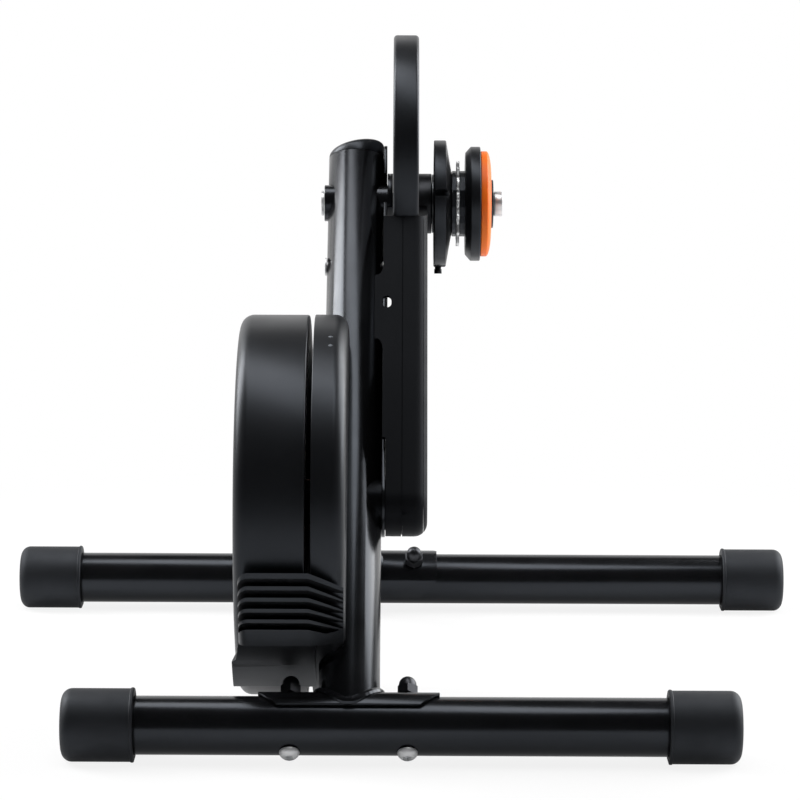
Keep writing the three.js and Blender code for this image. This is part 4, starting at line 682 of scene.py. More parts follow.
wide = TUBE_RADIUS + 3 * MM
end_normal = Vector((0, -math.sin(END_TILT), math.cos(END_TILT)))
tube = bar("leaning_tube", TUBE_RADIUS, 0, TUBE_LENGTH + CUT_OFF)
sliced(tube, (0, 0, TUBE_LENGTH), end_normal)
combined(
    tube, "DIFFERENCE",
    bar("leg_cope", SADDLE_OUTER + SEAT, -wide, wide, "X"),
    bar("sleeve_hole", SLEEVE_HOLE, -wide, wide, "X", (0, 0, SHAFT_ALONG)),
    bar("axle_hole", AXLE_HOLE, -wide, wide, "X", (0, 0, AXLE_ALONG)),
)
rounded(tube, 0.35 * MM, 2, 40)
placed(tube, on_tube)
finished(tube, powder_coat, "frame", "main_tube")

strut_length = BETWEEN_LEGS * math.sin(LEAN) / math.sin(LEAN + STRUT_LEAN)
strut = bar("prop_strut", STRUT_RADIUS, 0, strut_length)
tube_space = bar("tube_space", TUBE_RADIUS + SEAT, -4 * TUBE_RADIUS, 4 * TUBE_RADIUS)
placed(tube_space, turned_at((0, 0, strut_length), LEAN + STRUT_LEAN - TURN / 2))
combined(strut, "DIFFERENCE", tube_space, bar("leg_cope", SADDLE_OUTER + SEAT, -wide, wide, "X"))
placed(strut, on_strut)
finished(strut, powder_coat, "frame", "strut_tube")

# %% [markdown]
# The end cap is a moulded plug. It is cut below to the slant of the tube, and its gently domed
# top slopes up towards the drive side, so the cap looks like a wedge from behind. A turned dome
# is sheared along the tube to both slopes, which keeps its outline as round as the tube.

# %% End cap
CAP_HEIGHT = 10.3 * MM
CAP_CROWN = 0.6 * MM
CAP_ROUND = 4.2 * MM
CAP_SLOPE = math.radians(13)
cap_radius = TUBE_RADIUS - 0.1 * MM
cap = spun("domed_end_cap", [
    (-TUBE_RADIUS, 0), (-TUBE_RADIUS, cap_radius),
    *arc(CAP_HEIGHT - CAP_ROUND, cap_radius - CAP_ROUND, CAP_ROUND, 90, 0, 12),
    (CAP_HEIGHT + 0.7 * CAP_CROWN, 0.5 * cap_radius), (CAP_HEIGHT + CAP_CROWN, 0.25 * cap_radius),
    (CAP_HEIGHT + CAP_CROWN, 0), (-TUBE_RADIUS, 0),
], axis="Z", sides=128)
cap.data.transform(Matrix((
    (1, 0, 0, 0),
    (0, 1, 0, 0),
    (math.tan(CAP_SLOPE), math.tan(END_TILT), 1, TUBE_LENGTH),
    (0, 0, 0, 1),
)))
sliced(cap, end_normal * SEAT + Vector((0, 0, TUBE_LENGTH)), -end_normal)
rounded(cap, 0.25 * MM, 2, 60)
placed(cap, on_tube)
finished(cap, moulded, "frame", "tube_end_cap")

# %% Side plate
PLATE_LEFT = TUBE_RADIUS + 0.03 * MM
PLATE_RIGHT = TUBE_RADIUS + SEAT + 2.0 * MM
PLATE_HALF = 18 * MM
PLATE_END = 22 * MM
PLATE_STRAIGHT = SHAFT_ALONG + 60 * MM
PLATE_TOP = TUBE_LENGTH + 2.7 * MM
PLATE_CORNER = 9 * MM
BOSS_RADIUS, BOSS_HEIGHT = 6.3 * MM, 2.2 * MM
plate_outline = arc(0, SHAFT_ALONG, PLATE_END, 180, 360, 32)
plate_outline += [(PLATE_HALF, PLATE_STRAIGHT)]
plate_outline += arc(PLATE_HALF - PLATE_CORNER, PLATE_TOP - PLATE_CORNER, PLATE_CORNER, 0, 90, 10)
plate_outline += arc(PLATE_CORNER - PLATE_HALF, PLATE_TOP - PLATE_CORNER, PLATE_CORNER, 90, 180, 10)
plate_outline += [(-PLATE_HALF, PLATE_STRAIGHT)]
slot_outline = arc(0, AXLE_ALONG, AXLE_HOLE, -90, 90, 24)
slot_outline += [(-2 * PLATE_HALF, AXLE_ALONG + AXLE_HOLE), (-2 * PLATE_HALF, AXLE_ALONG - AXLE_HOLE)]
side_plate = pressed("drilled_side_plate", plate_outline, PLATE_LEFT, PLATE_RIGHT)
combined(
    side_plate, "DIFFERENCE",
    pressed("slot", slot_outline, PLATE_LEFT - MM, PLATE_RIGHT + MM),
    bar("sleeve_hole", SLEEVE_HOLE, PLATE_LEFT - MM, PLATE_RIGHT + MM, "X", (0, 0, SHAFT_ALONG)),
)
rounded(side_plate, 0.35 * MM, 2)
boss = bar("boss", BOSS_RADIUS, PLATE_RIGHT - 0.2 * MM, PLATE_RIGHT + BOSS_HEIGHT, "X",
           (0, 0, BOLT_ALONG), 48)
joined(side_plate, rounded(boss, 0.4 * MM, 2))
placed(side_plate, on_tube)
finished(side_plate, powder_coat, "frame", "side_plate")

# %% Cross bolt
CROSS_HEAD = 6.5 * MM
CROSS_SHANK = 4 * MM
head_right = -TUBE_RADIUS - SEAT
head_left = head_right - 1.4 * MM
cross_bolt = spun("flat_cross_bolt", [
    (head_left, 0), (head_left, 5.6 * MM), (head_left + 0.5 * MM, CROSS_HEAD), (head_right, CROSS_HEAD),
    (head_right, CROSS_SHANK), (TUBE_RADIUS, CROSS_SHANK), (TUBE_RADIUS, 0), (head_left, 0),
], (0, 0, BOLT_ALONG), sides=48)
placed(cross_bolt, on_tube)
finished(cross_bolt, plated, "frame", "cross_bolt")

# %% [markdown]
# ## Axle
# The sleeve is welded into the tube, and the hollow axle passes through it. Each end widens to a
# flat face, against which a skewer through the bore clamps the bicycle's dropout. All are turned
# parts with small chamfers. The sleeve's left end is faced after painting, so it is bare.

# %% Axle parts
AXLE_BORE = 6.1 * MM
AXLE_RADIUS = 7.5 * MM
AXLE_FACE = 9 * MM
FLANGE = 3.7 * MM  # thickness of the right end of both sleeves


def stepped(name, stations, bore, centre, edge=0.35 * MM):
    """A hollow turned part: stations are (left, right, radius) from left to right."""
    profile = [(stations[0][0], bore)]
    for left, right, radius in stations:
        profile += [(left, radius), (right, radius)]
    profile += [(stations[-1][1], bore), (stations[0][0], bore)]
    part = spun(name, profile, centre)
    return rounded(part, edge, 2)


low, high = span("axle_sleeve", "X")
step = high - FLANGE
sleeve = stepped("welded_axle_sleeve", [(low, step, 13 * MM), (step, high, 21.5 * MM)], 7.8 * MM, AXLE)
finished(sleeve, powder_coat, "frame", "axle_sleeve")
sleeve.data.materials.append(zinc["material"])
for face in sleeve.data.polygons:
    if face.center.x < TUBE_X - TUBE_RADIUS + 0.3 * MM:
        face.material_index = 1

low, high = span("hub_axle", "X")
step = low + 1.8 * MM
hollow_axle = stepped(
    "hollow_hub_axle", [(low, step, AXLE_FACE), (step, high, AXLE_RADIUS)], AXLE_BORE, AXLE)
finished(hollow_axle, zinc, "frame", "hub_axle")

low, high = span("drive_side_axle_end", "X")
step = high - 6 * MM
axle_end = stepped(
    "bright_axle_end", [(low, step, AXLE_RADIUS), (step, high, AXLE_FACE)], AXLE_BORE, AXLE, 0.6 * MM)
finished(axle_end, zinc, "frame", "drive_side_axle_end")

low, high = span("flywheel_sleeve", "X")
step = high - FLANGE
shaft_sleeve = stepped(
    "welded_shaft_sleeve", [(low, step, 17 * MM), (step, high, 18.5 * MM)], 14.3 * MM, SHAFT)
finished(shaft_sleeve, powder_coat, "frame", "flywheel_sleeve")

# %% [markdown]
# ## Pulley, freehub and cog stack
# The large pulley is one turning with a ribbed rim. The freehub slides into it and carries, from
# the inside out: a lobed guide, a spacer, the cog, another spacer, the outer guide and the
# orange cover that the lock ring holds.

# %% Large pulley
low, high = span("drive_pulley", "X")
pulley_radius, lip_radius = 60 * MM, 62.4 * MM
rim_inner = 55 * MM
hub_outer, hub_inner = 21.5 * MM, 14.3 * MM
rim_left, rim_right = -3.8 * MM, 7.2 * MM
web_left, web_right = -0.8 * MM, 4.2 * MM
lip = 0.82 * MM
rib_pitch, rib_depth = 2.34 * MM, 1.6 * MM
rim = [(rim_right, lip_radius), (rim_right - lip, lip_radius), (rim_right - lip, pulley_radius)]
for rib in (3, 2, 1, 0):
    ridge = rim_left + lip + rib * rib_pitch
    rim += [(ridge + rib_pitch / 2, pulley_radius - rib_depth), (ridge, pulley_radius)]
rim += [(rim_left + lip, lip_radius), (rim_left, lip_radius)]
big_pulley = spun("ribbed_drive_pulley", [
    (low, hub_inner), (high, hub_inner), (high, 21 * MM), (high - 0.5 * MM, hub_outer),
    (web_right, hub_outer), (web_right, rim_inner), (rim_right, rim_inner), *rim,
    (rim_left, rim_inner), (web_left, rim_inner), (web_left, hub_outer), (low, hub_outer),
    (low, hub_inner),
], AXLE)
finished(big_pulley, blackened, "hub_rotor", "drive_pulley")

# %% Freehub
low, high = span("freehub_body", "X")
collar_left, spline_left = 20.5 * MM, 21.6 * MM
root, tip = 16 * MM, 17.25 * MM
freehub_bore = 12.3 * MM
SPLINES = 9
spline_points = []
for tooth in range(SPLINES):
    for share, radius in ((0, root), (0.5, root), (0.5, tip), (1, tip)):
        angle = TURN * (tooth + share) / SPLINES
        spline_points.append((AXLE.y + radius * math.cos(angle), AXLE.z + radius * math.sin(angle)))
splines = pressed("freehub_splines", spline_points, spline_left, high)
combined(splines, "DIFFERENCE", bar("bore", freehub_bore, spline_left - MM, high + MM, "X", AXLE, 96))
rounded(splines, 0.25 * MM, 2)
core = stepped("freehub", [
    (low, collar_left, 14.5 * MM), (collar_left, spline_left, 21 * MM),
], freehub_bore, AXLE, 0.2 * MM)
joined(core, splines)
finished(core, ground, "freehub", "freehub_body")

# %% [markdown]
# The inner guide is a moulded dished disc. Four narrow notches split its edge into lobes, and a
# small peg stands on the edge at the bottom. The notches are trimmed by rounded slots.

# %% Lobed guide
low, high = span("inner_chain_guide", "X")
guide_radius = 45.5 * MM
face_radius = 23.3 * MM
guide_bore = 17.6 * MM
notch_middle, notch_half = 37.4 * MM, 2.4 * MM
first_notch = math.radians(180 - 16)
peg_angle = math.radians(180 + 82)
guide = spun("lobed_chain_guide", [
    (low, guide_bore), (high, guide_bore), (high, face_radius - 0.6 * MM), (high - 0.4 * MM, face_radius),
    (30.6 * MM, 44.6 * MM), (30.2 * MM, 45.3 * MM), (29.6 * MM, guide_radius),
    (low + 0.5 * MM, guide_radius), (low, guide_radius - 0.5 * MM), (low, guide_radius - 3 * MM),
    (27.4 * MM, guide_radius - 3 * MM), (high - 5 * MM, face_radius), (low, face_radius),
    (low, guide_bore),
], AXLE, sides=144)
notch_outline = arc(notch_middle, 0, notch_half, 90, 270, 12)
notch_outline += [(50 * MM, -notch_half), (50 * MM, notch_half)]
for index in range(4):
    notch = pressed("notch", notch_outline, low - MM, high + MM)
    placed(notch, turned_at((0, AXLE.y, AXLE.z), first_notch + index * TURN / 4))
    combined(guide, "DIFFERENCE", notch)
rounded(guide, 0.3 * MM, 2, 45)
peg = stepped("peg", [(0, 2 * MM, 2.3 * MM), (2 * MM, 5.2 * MM, 2.7 * MM)], 0, (0, 0, 0), 0.9 * MM)
placed(peg, turned_at((low + 3.2 * MM, AXLE.y, AXLE.z), peg_angle)
       @ turned_at((0, guide_radius - 0.4 * MM, 0), TURN / 4, "Z"))
joined(guide, peg)
finished(guide, moulded, "freehub", "inner_chain_guide")

# %% Cog
COG_TEETH = 14
CHAIN_PITCH = 12.7 * MM
ROLLER_SEAT = 3.97 * MM
COG_TIP, COG_SHOULDER = 30.7 * MM, 29.9 * MM
low, high = span("cog", "X")
pitch_radius = CHAIN_PITCH / 2 / math.sin(math.pi / COG_TEETH)
cog_points = []
for tooth in range(COG_TEETH):
    middle_angle = TURN * tooth / COG_TEETH
    for step in range(9):
        turn = middle_angle + math.radians(242 - 124 * step / 8)
        cog_points.append((pitch_radius * math.cos(middle_angle) + ROLLER_SEAT * math.cos(turn),
                           pitch_radius * math.sin(middle_angle) + ROLLER_SEAT * math.sin(turn)))
    for share, radius in ((0.36, COG_SHOULDER), (0.42, COG_TIP), (0.58, COG_TIP), (0.64, COG_SHOULDER)):
        turn = middle_angle + TURN * share / COG_TEETH
        cog_points.append((radius * math.cos(turn), radius * math.sin(turn)))
sprocket = pressed("toothed_cog", [(AXLE.y + y, AXLE.z + z) for y, z in cog_points], low, high)
combined(sprocket, "DIFFERENCE", bar("bore", guide_bore, low - MM, high + MM, "X", AXLE, 96))
rounded(sprocket, 0.35 * MM, 2)
finished(sprocket, zinc, "freehub", "cog")

# %% Outer guide, orange cover and lock ring
low, high = span("outer_chain_guide", "X")
outer_radius = 40.2 * MM
outer_guide = spun("chamfered_chain_guide", [
    (low, guide_bore), (high, guide_bore), (high, outer_radius),
    *arc(high - 0.8 * MM, outer_radius, 0.8 * MM, 0, 90, 4),
    *arc(low + 4.3 * MM, 40 * MM, 1 * MM, 90, 135, 3),
    *arc(low + 0.6 * MM, 36.4 * MM, 0.6 * MM, 135, 180, 3), (low, guide_bore),
], AXLE, sides=144)
finished(outer_guide, moulded, "freehub", "outer_chain_guide")

low, high = span("cog_cover", "X")
rim_radius = 37.8 * MM
land_radius = 22 * MM
cover_bore = 17.8 * MM
shoulder = low + 3.9 * MM
dome = []
for degrees in range(0, 91, 6):
    angle = math.radians(degrees)
    dome.append((shoulder + (high - shoulder) * math.sin(angle),
                 land_radius + (rim_radius - land_radius) * math.cos(angle)))
orange_cover = spun("orange_cog_cover", [
    (low, cover_bore), (low, rim_radius - 0.4 * MM), (low + 0.4 * MM, rim_radius), *dome,
    (high, 18.3 * MM), (high - 0.5 * MM, cover_bore), (low, cover_bore),
], AXLE, sides=144)
finished(orange_cover, orange_cap, "freehub", "cog_cover")

low, high = span("lock_ring", "X")
step = low + 5.4 * MM
lock_ring = stepped("turned_lock_ring", [
    (low, step, 14.6 * MM), (step, high, 17.4 * MM),
], 8.4 * MM, AXLE, 0.7 * MM)
finished(lock_ring, blackened, "freehub", "lock_ring")

# %% [markdown]
# ## Belt covers and handle hood
# Two shells make the belt housing: their outline wraps round both shafts like a drop. The hood
# above them is one piece that covers the upper half of the pulley and rises into the handle.
# Each outline is pressed, its outer edge rounded, and then it is hollowed.

# %% Outlines
COVER_RADIUS = 67 * MM
COVER_END = 21.4 * MM
WALL = 2.5 * MM
HUB_NOTCH = 22.5 * MM
SPLAY = math.asin((COVER_RADIUS - COVER_END) / SPACING)


def drop(inset, steps=56):
    """Outline in (y, z) round the axle and the shaft, inset by a wall."""
    low, high = LEAN - TURN / 4 - SPLAY, LEAN + TURN / 4 + SPLAY
    big = arc(AXLE.y, AXLE.z, COVER_RADIUS - inset, math.degrees(low), math.degrees(high), steps)
    small = arc(SHAFT.y, SHAFT.z, COVER_END - inset, math.degrees(high), math.degrees(low + TURN), steps // 2)
    return big + small


# %% Inner cover
COVER_LEFT = span("axle_sleeve", "X")[1] - FLANGE
OUTER_LEFT, COVER_RIGHT = span("belt_cover_outer", "X")
COVER_TOP = span("belt_cover_outer", "Z")[1]
HOOD_LEFT, HOOD_RIGHT = span("handle_hood", "X")
SEAM_WIDTH = 0.7 * MM
SEAM = OUTER_LEFT - SEAM_WIDTH
RELIEF = 7 * MM  # how far the front of the cover is opened towards the side plate


def inner_space(name, left, right, top=COVER_TOP + 10 * MM):
    """The hollow of the covers between two places along X and below a height."""
    return sliced(pressed(name, drop(WALL), left, right), (0, 0, top), (0, 0, 1))


inner_cover = pressed("ribbed_inner_cover", drop(0), COVER_LEFT, SEAM)
sliced(inner_cover, (0, 0, COVER_TOP), (0, 0, 1))
front_relief = inner_space("front", COVER_LEFT - MM, HOOD_LEFT, COVER_TOP - WALL)
placed(front_relief, Matrix.Translation((0, RELIEF * math.sin(LEAN), -RELIEF * math.cos(LEAN))))
sliced(front_relief, (0, 0, COVER_TOP - WALL), (0, 0, 1))
combined(
    inner_cover, "DIFFERENCE",
    inner_space("belt_space", HOOD_LEFT + WALL, SEAM + MM),
    inner_space("back_space", COVER_LEFT - MM, HOOD_LEFT, COVER_TOP - WALL),
    front_relief,
    bar("hub_notch", HUB_NOTCH, COVER_LEFT - MM, SEAM + MM, "X", AXLE),
    bar("shaft_hole", 10 * MM, COVER_LEFT - MM, SEAM + MM, "X", SHAFT),
)

# %% [markdown]
# Beside the tube the inner cover reaches over the edge of the side plate, so no daylight shows
# between them. Its border is pulled out there and stops short of the plate's round end. On the
# other side a thin tongue closes the seam, so that the seam reads as a dark line.

# %% Cover border and seam tongue
BORDER = 2.4 * MM
BORDER_END = 36 * MM  # from the shaft, along the line to the axle
TONGUE_DEPTH = 1.2 * MM
to_axle = Vector((0, math.cos(LEAN), math.sin(LEAN)))
border = pressed("border", drop(0), COVER_LEFT - BORDER, COVER_LEFT + 0.1 * MM)
combined(border, "DIFFERENCE", inner_space("inside", COVER_LEFT - 2 * BORDER, COVER_LEFT + MM))
sliced(border, (0, 0, COVER_TOP), (0, 0, 1))
sliced(border, SHAFT + BORDER_END * to_axle, -to_axle)
tongue = pressed("seam_tongue", drop(TONGUE_DEPTH), SEAM - MM, OUTER_LEFT - 0.03 * MM)
combined(tongue, "DIFFERENCE", inner_space("inside", SEAM - 2 * MM, OUTER_LEFT + MM))
sliced(tongue, (0, 0, COVER_TOP - WALL), (0, 0, 1))
combined(inner_cover, "UNION", border, tongue)

# %% [markdown]
# A flat tab stands on the rear edge of the inner cover and reaches over the tube. Its corners
# run into the cover in fillets, and a slotted hole goes right through it.

# %% Cover tab
rear_angle = LEAN + TURN / 4 + SPLAY
outward_axis = Vector((0, math.cos(rear_angle), math.sin(rear_angle)))
along_axis = Vector((0, math.cos(rear_angle - TURN / 4), math.sin(rear_angle - TURN / 4)))
on_rear_edge = Matrix((
    (1, 0, 0, COVER_LEFT),
    (0, along_axis.y, outward_axis.y, AXLE.y + COVER_RADIUS * outward_axis.y),
    (0, along_axis.z, outward_axis.z, AXLE.z + COVER_RADIUS * outward_axis.z),
    (0, 0, 0, 1),
))
TAB_FROM, TAB_TO = 119 * MM - SPACING, 168.4 * MM - SPACING
TAB_HOLE = 147.5 * MM - SPACING
TAB_REACH = 8.2 * MM
TAB_FILLET, TAB_FILLET_WIDE = 8 * MM, 4.2 * MM
TAB_CORNER = 1.5 * MM
TAB_THICKNESS = 2.6 * MM
HOLE_RADIUS, HOLE_HALF = 3 * MM, 1.5 * MM
HOLE_ACROSS = WALL + 0.8 * MM


def flat_pressed(name, outline, low, high):
    """A plate with an outline of (x, y), from one Z to another."""
    return filled(name, [(x, y, low) for x, y in outline], (0, 0, high - low))


def quarter_fillet(corner_x, corner_y, turn):
    """A concave quarter between the cover's edge and the tab, seen along the tab."""
    points = []
    for step in range(9):
        angle = math.radians(90 * step / 8)
        points.append((corner_x - TAB_FILLET_WIDE * (1 - math.cos(angle)),
                       corner_y + turn * TAB_FILLET * (1 - math.sin(angle))))
    return points


tab_outline = [(WALL, TAB_FROM - TAB_FILLET)]
tab_outline += quarter_fillet(-BORDER, TAB_FROM, -1)
tab_outline += arc(TAB_CORNER - TAB_REACH, TAB_FROM + TAB_CORNER, TAB_CORNER, 270, 180, 5)
tab_outline += arc(TAB_CORNER - TAB_REACH, TAB_TO - TAB_CORNER, TAB_CORNER, 180, 90, 5)
tab_outline += reversed(quarter_fillet(-BORDER, TAB_TO, 1))
tab_outline += [(WALL, TAB_TO + TAB_FILLET)]
tab = placed(flat_pressed("tab", tab_outline, -TAB_THICKNESS, -0.05 * MM), on_rear_edge)
combined(inner_cover, "UNION", tab)
hole_x = HOLE_ACROSS - HOLE_RADIUS
hole_outline = arc(hole_x, TAB_HOLE + HOLE_HALF, HOLE_RADIUS, 0, 180, 12)
hole_outline += arc(hole_x, TAB_HOLE - HOLE_HALF, HOLE_RADIUS, 180, 360, 12)
slot = flat_pressed("slot", hole_outline, -4 * TAB_THICKNESS, 2 * MM)
combined(inner_cover, "DIFFERENCE", placed(slot, on_rear_edge))
rounded(inner_cover, 0.4 * MM, 3, 50)
finished(inner_cover, shaded_cover_shell, "frame", "belt_cover_inner")

# %% Outer cover
EDGE = 9 * MM
TOP_EDGE = 2.2 * MM
SCREW_SINK = 2.6 * MM
SCREW_BOSS, SCREW_HOLE = 7 * MM, 4.7 * MM
outer_cover = pressed("rounded_outer_cover", drop(0), OUTER_LEFT - 20 * MM, COVER_RIGHT)
rounded(outer_cover, EDGE, 10, 60)
sliced(outer_cover, (0, 0, COVER_TOP), (0, 0, 1))
rounded(outer_cover, TOP_EDGE, 4, 60)
sliced(outer_cover, (OUTER_LEFT, 0, 0), (-1, 0, 0))
combined(
    outer_cover, "DIFFERENCE",
    inner_space("belt_space", OUTER_LEFT - MM, HOOD_RIGHT - WALL),
    inner_space("side_space", HOOD_RIGHT - 3 * MM, COVER_RIGHT - WALL, COVER_TOP - WALL),
    bar("hub_notch", HUB_NOTCH, OUTER_LEFT - MM, COVER_RIGHT + MM, "X", AXLE),
)
sunk = COVER_RIGHT - SCREW_SINK
screws = {}
for node in ("cover_screw_lower", "cover_screw_upper"):
    centre = screws[node] = (0, middle(node, "Y"), middle(node, "Z"))
    boss = bar("boss", SCREW_BOSS, sunk - 2 * MM, COVER_RIGHT - MM, "X", centre, 48)
    combined(outer_cover, "UNION", boss)
    counterbore = bar("counterbore", SCREW_HOLE, sunk, COVER_RIGHT + MM, "X", centre, 48)
    combined(outer_cover, "DIFFERENCE", counterbore)
rounded(outer_cover, 0.5 * MM, 3, 60)
finished(outer_cover, shaded_cover_shell, "frame", "belt_cover_outer")

# %% Cover screws
seat = sunk + 0.05 * MM
screw_tip, head_top = seat - 10 * MM, seat + 2.4 * MM
screw_shank, screw_head = 1.8 * MM, 4.2 * MM
for node, centre in screws.items():
    screw = spun(node.replace("cover", "pan"), [
        (screw_tip, 0), (screw_tip, screw_shank), (seat, screw_shank), (seat, screw_head),
        (seat + 1.1 * MM, screw_head), (seat + 2.0 * MM, 3.4 * MM), (head_top, 2.2 * MM), (head_top, 0),
        (screw_tip, 0),
    ], centre, sides=48)
    socket = hexagon("socket", 2.6 * MM, -1.2 * MM, MM)
    placed(socket, turned_at((head_top, centre[1], centre[2]), TURN / 4, "Y"))
    combined(screw, "DIFFERENCE", socket)
    finished(screw, blackened, "frame", node)

# %% [markdown]
# From the side the hood is an arc that is higher than the covers and meets their rear edge. A
# short curve brings it back to them at the front. The hand slot is a bent slot with round ends.

# %% Handle hood
HOOD_TOP = span("handle_hood", "Z")[1] - AXLE.z
HOOD_BOTTOM = span("handle_hood", "Z")[0]
HOOD_FRONT_DROP = 2.6 * MM
below = HOOD_BOTTOM - 10 * MM
rear_reach = -COVER_RADIUS / math.cos(rear_angle)
rise = (HOOD_TOP ** 2 - rear_reach ** 2) / (2 * HOOD_TOP)
hood_radius = HOOD_TOP - rise
start = 180 + math.degrees(math.asin(rise / hood_radius))
hood_outline = [(AXLE.y - rear_reach, below)]
hood_outline += arc(AXLE.y, AXLE.z + rise, hood_radius, start, 0, 90)
for step in range(1, 13):
    share = step / 12
    rest = 1 - share
    y = rest ** 2 * hood_radius + 2 * share * rest * hood_radius + share ** 2 * COVER_RADIUS
    z = rest ** 2 * rise - share ** 2 * HOOD_FRONT_DROP
    hood_outline.append((AXLE.y + y, AXLE.z + z))
hood_outline.append((AXLE.y + COVER_RADIUS, below))
handle = pressed("handle_hood_shell", hood_outline, HOOD_LEFT, HOOD_RIGHT)
rounded(handle, 2.6 * MM, 6, 50)
slot_middle, slot_end = 85 * MM, 15 * MM
slot_front, slot_rear = 90 - 26, 90 + 26


def slot_round(angle, turn):
    """The round end of the hand slot at an angle, drawn from another angle through half a turn."""
    y = AXLE.y + slot_middle * math.cos(math.radians(angle))
    z = AXLE.z + slot_middle * math.sin(math.radians(angle))
    return arc(y, z, slot_end, turn, turn - 180, 16)


hand_outline = arc(AXLE.y, AXLE.z, slot_middle + slot_end, slot_rear, slot_front, 32)
hand_outline += slot_round(slot_front, slot_front)
hand_outline += arc(AXLE.y, AXLE.z, slot_middle - slot_end, slot_front, slot_rear, 32)
hand_outline += slot_round(slot_rear, slot_rear + 180)
combined(handle, "DIFFERENCE", pressed("hand_slot", hand_outline, HOOD_LEFT - MM, HOOD_RIGHT + MM))
sliced(handle, (0, 0, HOOD_BOTTOM), (0, 0, -1))
rounded(handle, 1.2 * MM, 4, 70)
combined(
    handle, "DIFFERENCE",
    pressed("pulley_space", drop(WALL), HOOD_LEFT + WALL, HOOD_RIGHT - WALL),
    bar("hub_notch", HUB_NOTCH, HOOD_LEFT - MM, HOOD_RIGHT + MM, "X", AXLE),
)
finished(handle, moulded, "frame", "handle_hood")

# %% [markdown]
# ## Flywheel
# The flywheel is cast iron, turned on its rim and faces, with a large rounding at the outer
# corner. The left face has a shallow dish between rim and hub. It is one profile spun round.

# %% Flywheel and shaft
left, right = span("flywheel", "X")
WHEEL_RADIUS = span("flywheel", "Z")[1] - SHAFT.z
WHEEL_ROUND = 9 * MM
web_left, web_right = left + 4 * MM, left + 10.3 * MM
hub_right = web_right + 4 * MM
nut_floor = web_left + 3.9 * MM
nut_hollow = 14 * MM
wheel_bore = 6.3 * MM
inner = WHEEL_RADIUS - 21 * MM
small_round = 1.5 * MM
wheel = spun("cast_flywheel", [
    (nut_floor, wheel_bore), (hub_right, wheel_bore), (hub_right, 16 * MM), (web_right, 17 * MM),
    (web_right, inner - 4 * MM), (web_right + 4 * MM, inner), (right, inner),
    (right, WHEEL_RADIUS - small_round),
    *arc(right - small_round, WHEEL_RADIUS - small_round, small_round, 0, 90, 4),
    *arc(left + WHEEL_ROUND, WHEEL_RADIUS - WHEEL_ROUND, WHEEL_ROUND, 90, 180, 12),
    (left, 102 * MM), *arc(left + 2 * MM, 98 * MM, 2 * MM, 180, 270, 3), (web_left, 94 * MM),
    (web_left, 38 * MM), (left + 2 * MM, 36 * MM), (left, 34 * MM), (left, nut_hollow + 0.6 * MM),
    (left + 0.6 * MM, nut_hollow), (nut_floor, nut_hollow), (nut_floor, wheel_bore),
], SHAFT, sides=192)
rounded(wheel, 0.6 * MM, 3, 30)
finished(wheel, wheel_coat, "flywheel_rotor", "flywheel")

low, high = span("flywheel_shaft", "X")
shaft = spun("ground_flywheel_shaft", [
    (low, 0), (low, 2 * MM), (low + 1 * MM, 3 * MM), (low, 4.5 * MM), (low, 5.3 * MM),
    (low + 0.7 * MM, 6 * MM), (high - 0.7 * MM, 6 * MM), (high, 5.3 * MM), (high, 0), (low, 0),
], SHAFT, sides=64)
finished(shaft, ground, "flywheel_rotor", "flywheel_shaft")

low, high = span("flywheel_nut", "X")
wheel_nut = nut_body(
    "flywheel_lock_nut", low, high, 18 * MM, bore=wheel_bore, face=8.8 * MM, corner=10.6 * MM,
    edge=1 * MM, sides=64)
placed(wheel_nut, turned_at((0, SHAFT.y, SHAFT.z), TURN / 4, "Y"))
finished(wheel_nut, blackened, "flywheel_rotor", "flywheel_nut")

# %% [markdown]
# ## Electronics cover
# A round plastic shell stands beside the flywheel and wraps over the main tube in a channel. It
# is spun, hollowed and then trimmed for the tube, the lights and the power socket. The photo has
# its right face a little further left than the frame does, so it is made narrower.

# %% Electronics cover
NARROWER = 3 * MM
left, right = span("electronics_cover", "X")
right -= NARROWER
DRUM_RADIUS = span("electronics_cover", "Z")[1] - SHAFT.z
DRUM_WALL = 2.4 * MM
DRUM_ROUND = 9 * MM
LIGHT_X = -47.6 * MM
LIGHT_ANGLES = (19.5, 24.5)
LIGHT_HOLE = 1.6 * MM
SOCKET_ANGLE = -105
SOCKET_X = -47.5 * MM
SOCKET_HOLE = 5.8 * MM


def radial(piece, angle, x):
    """Stands a piece made along +Z at the shaft on the rim, at an angle back from the top."""
    return placed(piece, turned_at((x, SHAFT.y, SHAFT.z), math.radians(angle)))


def along_tube(name, radius):
    """A rod round the main tube's centre line, well past the housing."""
    reach = 200 * MM
    rod = bar(name, radius, SHAFT_ALONG - reach, SHAFT_ALONG + reach)
    return placed(rod, on_tube)


drum = spun("electronics_drum", [
    (left, 0), (left, DRUM_RADIUS - 0.4 * MM), (left + 0.4 * MM, DRUM_RADIUS),
    *arc(right - DRUM_ROUND, DRUM_RADIUS - DRUM_ROUND, DRUM_ROUND, 90, 0, 12), (right, 0), (left, 0),
], SHAFT, sides=192)
inside = spun("inside", [
    (left - MM, 0), (left - MM, DRUM_RADIUS - DRUM_WALL),
    *arc(right - DRUM_ROUND, DRUM_RADIUS - DRUM_ROUND, DRUM_ROUND - DRUM_WALL, 90, 0, 8),
    (right - DRUM_WALL, 0), (left - MM, 0),
], SHAFT, sides=96)
combined(inside, "DIFFERENCE", along_tube("channel", TUBE_RADIUS + SEAT + DRUM_WALL))
combined(drum, "DIFFERENCE", inside, along_tube("tube_space", TUBE_RADIUS + SEAT))
for angle in LIGHT_ANGLES:
    hole = bar("light_hole", LIGHT_HOLE, DRUM_RADIUS - 8 * MM, DRUM_RADIUS + MM, sides=32)
    combined(drum, "DIFFERENCE", radial(hole, angle, LIGHT_X))
hole = bar("socket_hole", SOCKET_HOLE, DRUM_RADIUS - 10 * MM, DRUM_RADIUS + MM, sides=48)
